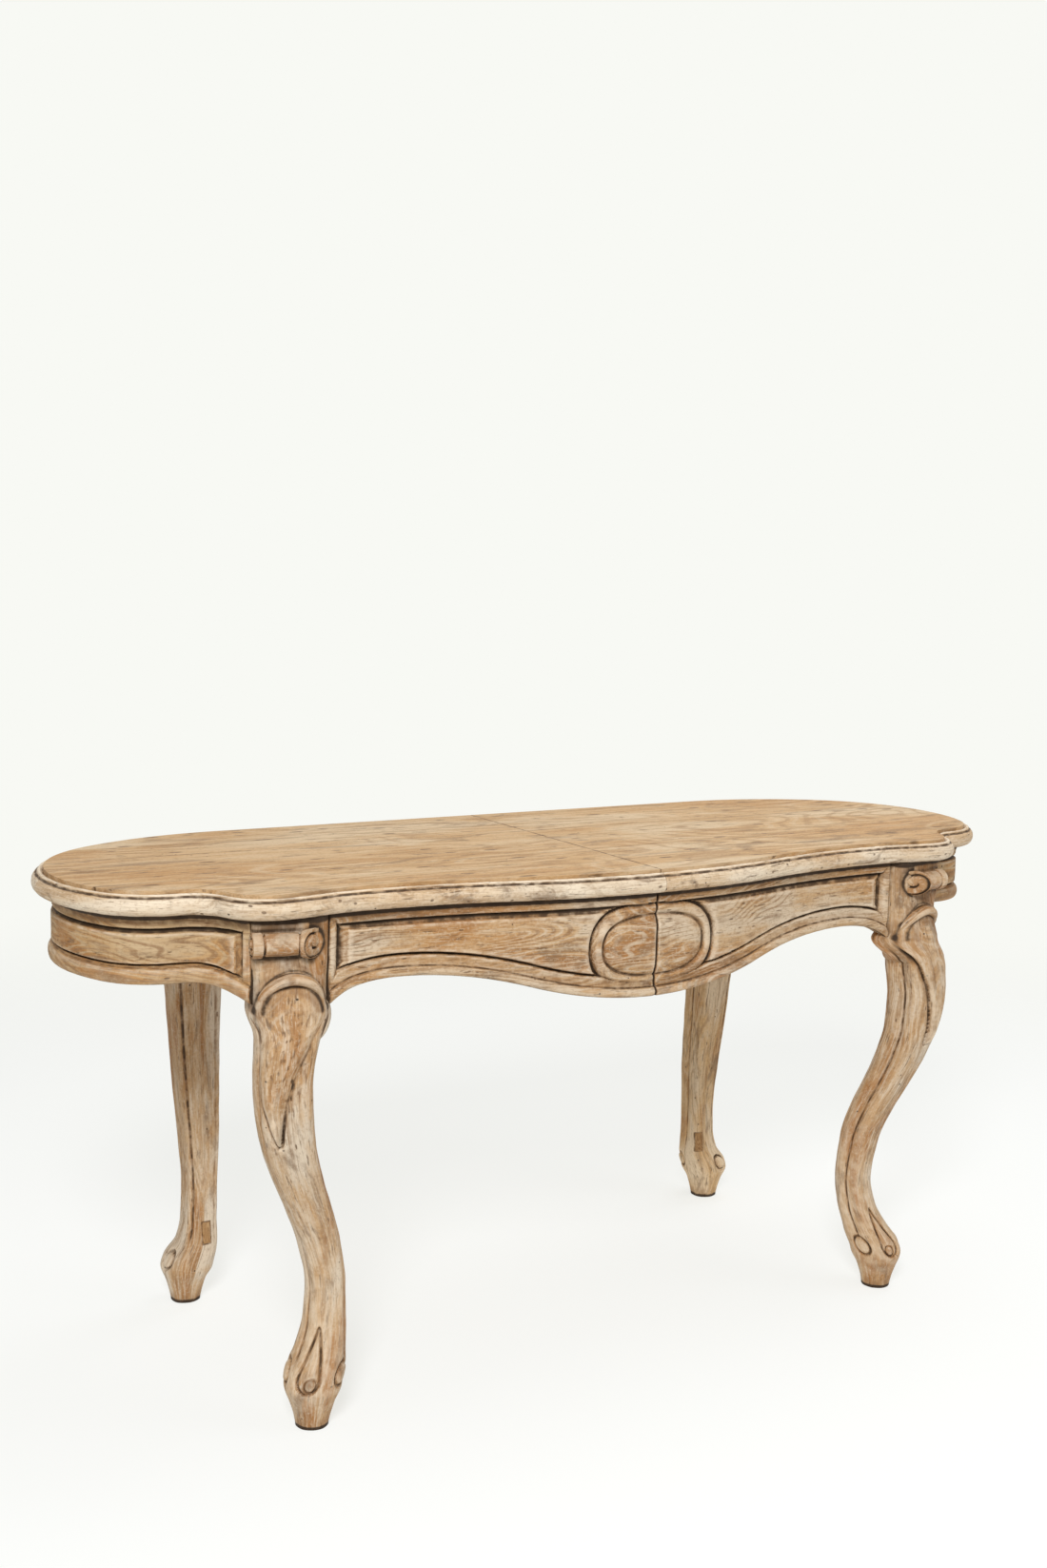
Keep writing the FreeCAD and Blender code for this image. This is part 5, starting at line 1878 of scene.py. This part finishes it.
world = bpy.data.worlds.new("studio")
scene.world = world
world.use_nodes = True
tree = world.node_tree
tree.nodes.clear()
inputs = {"Color": (*stage["ambient"], 1), "Strength": stage["ambientStrength"]}
ambient = addNode(tree, "ShaderNodeBackground", inputs)
seen = addNode(tree, "ShaderNodeBackground", {"Color": (*stage["white"], 1), "Strength": 1.0})
rays = tree.nodes.new("ShaderNodeLightPath").outputs
direct = mathNode(tree, "ADD", rays["Is Camera Ray"], rays["Is Glossy Ray"])
direct = mathNode(tree, "ADD", direct, rays["Is Transmission Ray"], clamp=True)
choice = addNode(tree, "ShaderNodeMixShader", {0: direct, 1: ambient.outputs[0], 2: seen.outputs[0]})
addNode(tree, "ShaderNodeOutputWorld", {"Surface": choice.outputs[0]})

lamps = {
    "keyLamp": {"place": (-2.3, -3.0, 3.2), "aim": (0, -0.1, 0.5), "size": 1.3, "power": 153},
    "fillLamp": {"place": (3.0, -2.4, 1.9), "aim": (0.2, 0, 0.5), "size": 2.6, "power": 26},
    "topLamp": {"place": (1.35, 0.35, 3.1), "aim": (0.5, 0, 0.7), "size": 2.2, "power": 33},
}
for name, lamp in lamps.items():
    data = bpy.data.lights.new(name, "AREA")
    data.shape = "DISK"
    data.size = lamp["size"]
    data.energy = lamp["power"]
    holder = linkedObject(name, data)
    holder.location = lamp["place"]
    aim = Vector(lamp["aim"]) - Vector(lamp["place"])
    holder.rotation_euler = aim.to_track_quat("-Z", "Y").to_euler()

# turns in radians; the lens in millimetres follows from its length in picture heights
view = {
    "place": (-1.5661, -2.4298, 1.2340), "yaw": 0.5530, "pitch": 0.1327, "roll": 0.0281,
    "sensor": 36, "lensInHeights": 1924.0 / 1647,
}
yaw, pitch, roll = view["yaw"], view["pitch"], view["roll"]
ahead = Vector((math.sin(yaw) * math.cos(pitch), math.cos(yaw) * math.cos(pitch), -math.sin(pitch)))
level = Vector((math.cos(yaw), -math.sin(yaw), 0))
upright = level.cross(ahead)
right = level * math.cos(roll) + upright * math.sin(roll)
up = upright * math.cos(roll) - level * math.sin(roll)
cameraData = bpy.data.cameras.new("camera")
cameraData.sensor_width = view["sensor"]
cameraData.lens = view["lensInHeights"] * view["sensor"]
camera = linkedObject("camera", cameraData)
camera.matrix_world = Matrix((
    (right.x, up.x, -ahead.x, view["place"][0]),
    (right.y, up.y, -ahead.y, view["place"][1]),
    (right.z, up.z, -ahead.z, view["place"][2]),
    (0, 0, 0, 1),
))
scene.camera = camera
scene.view_settings.view_transform = "Standard"
print("stage set")
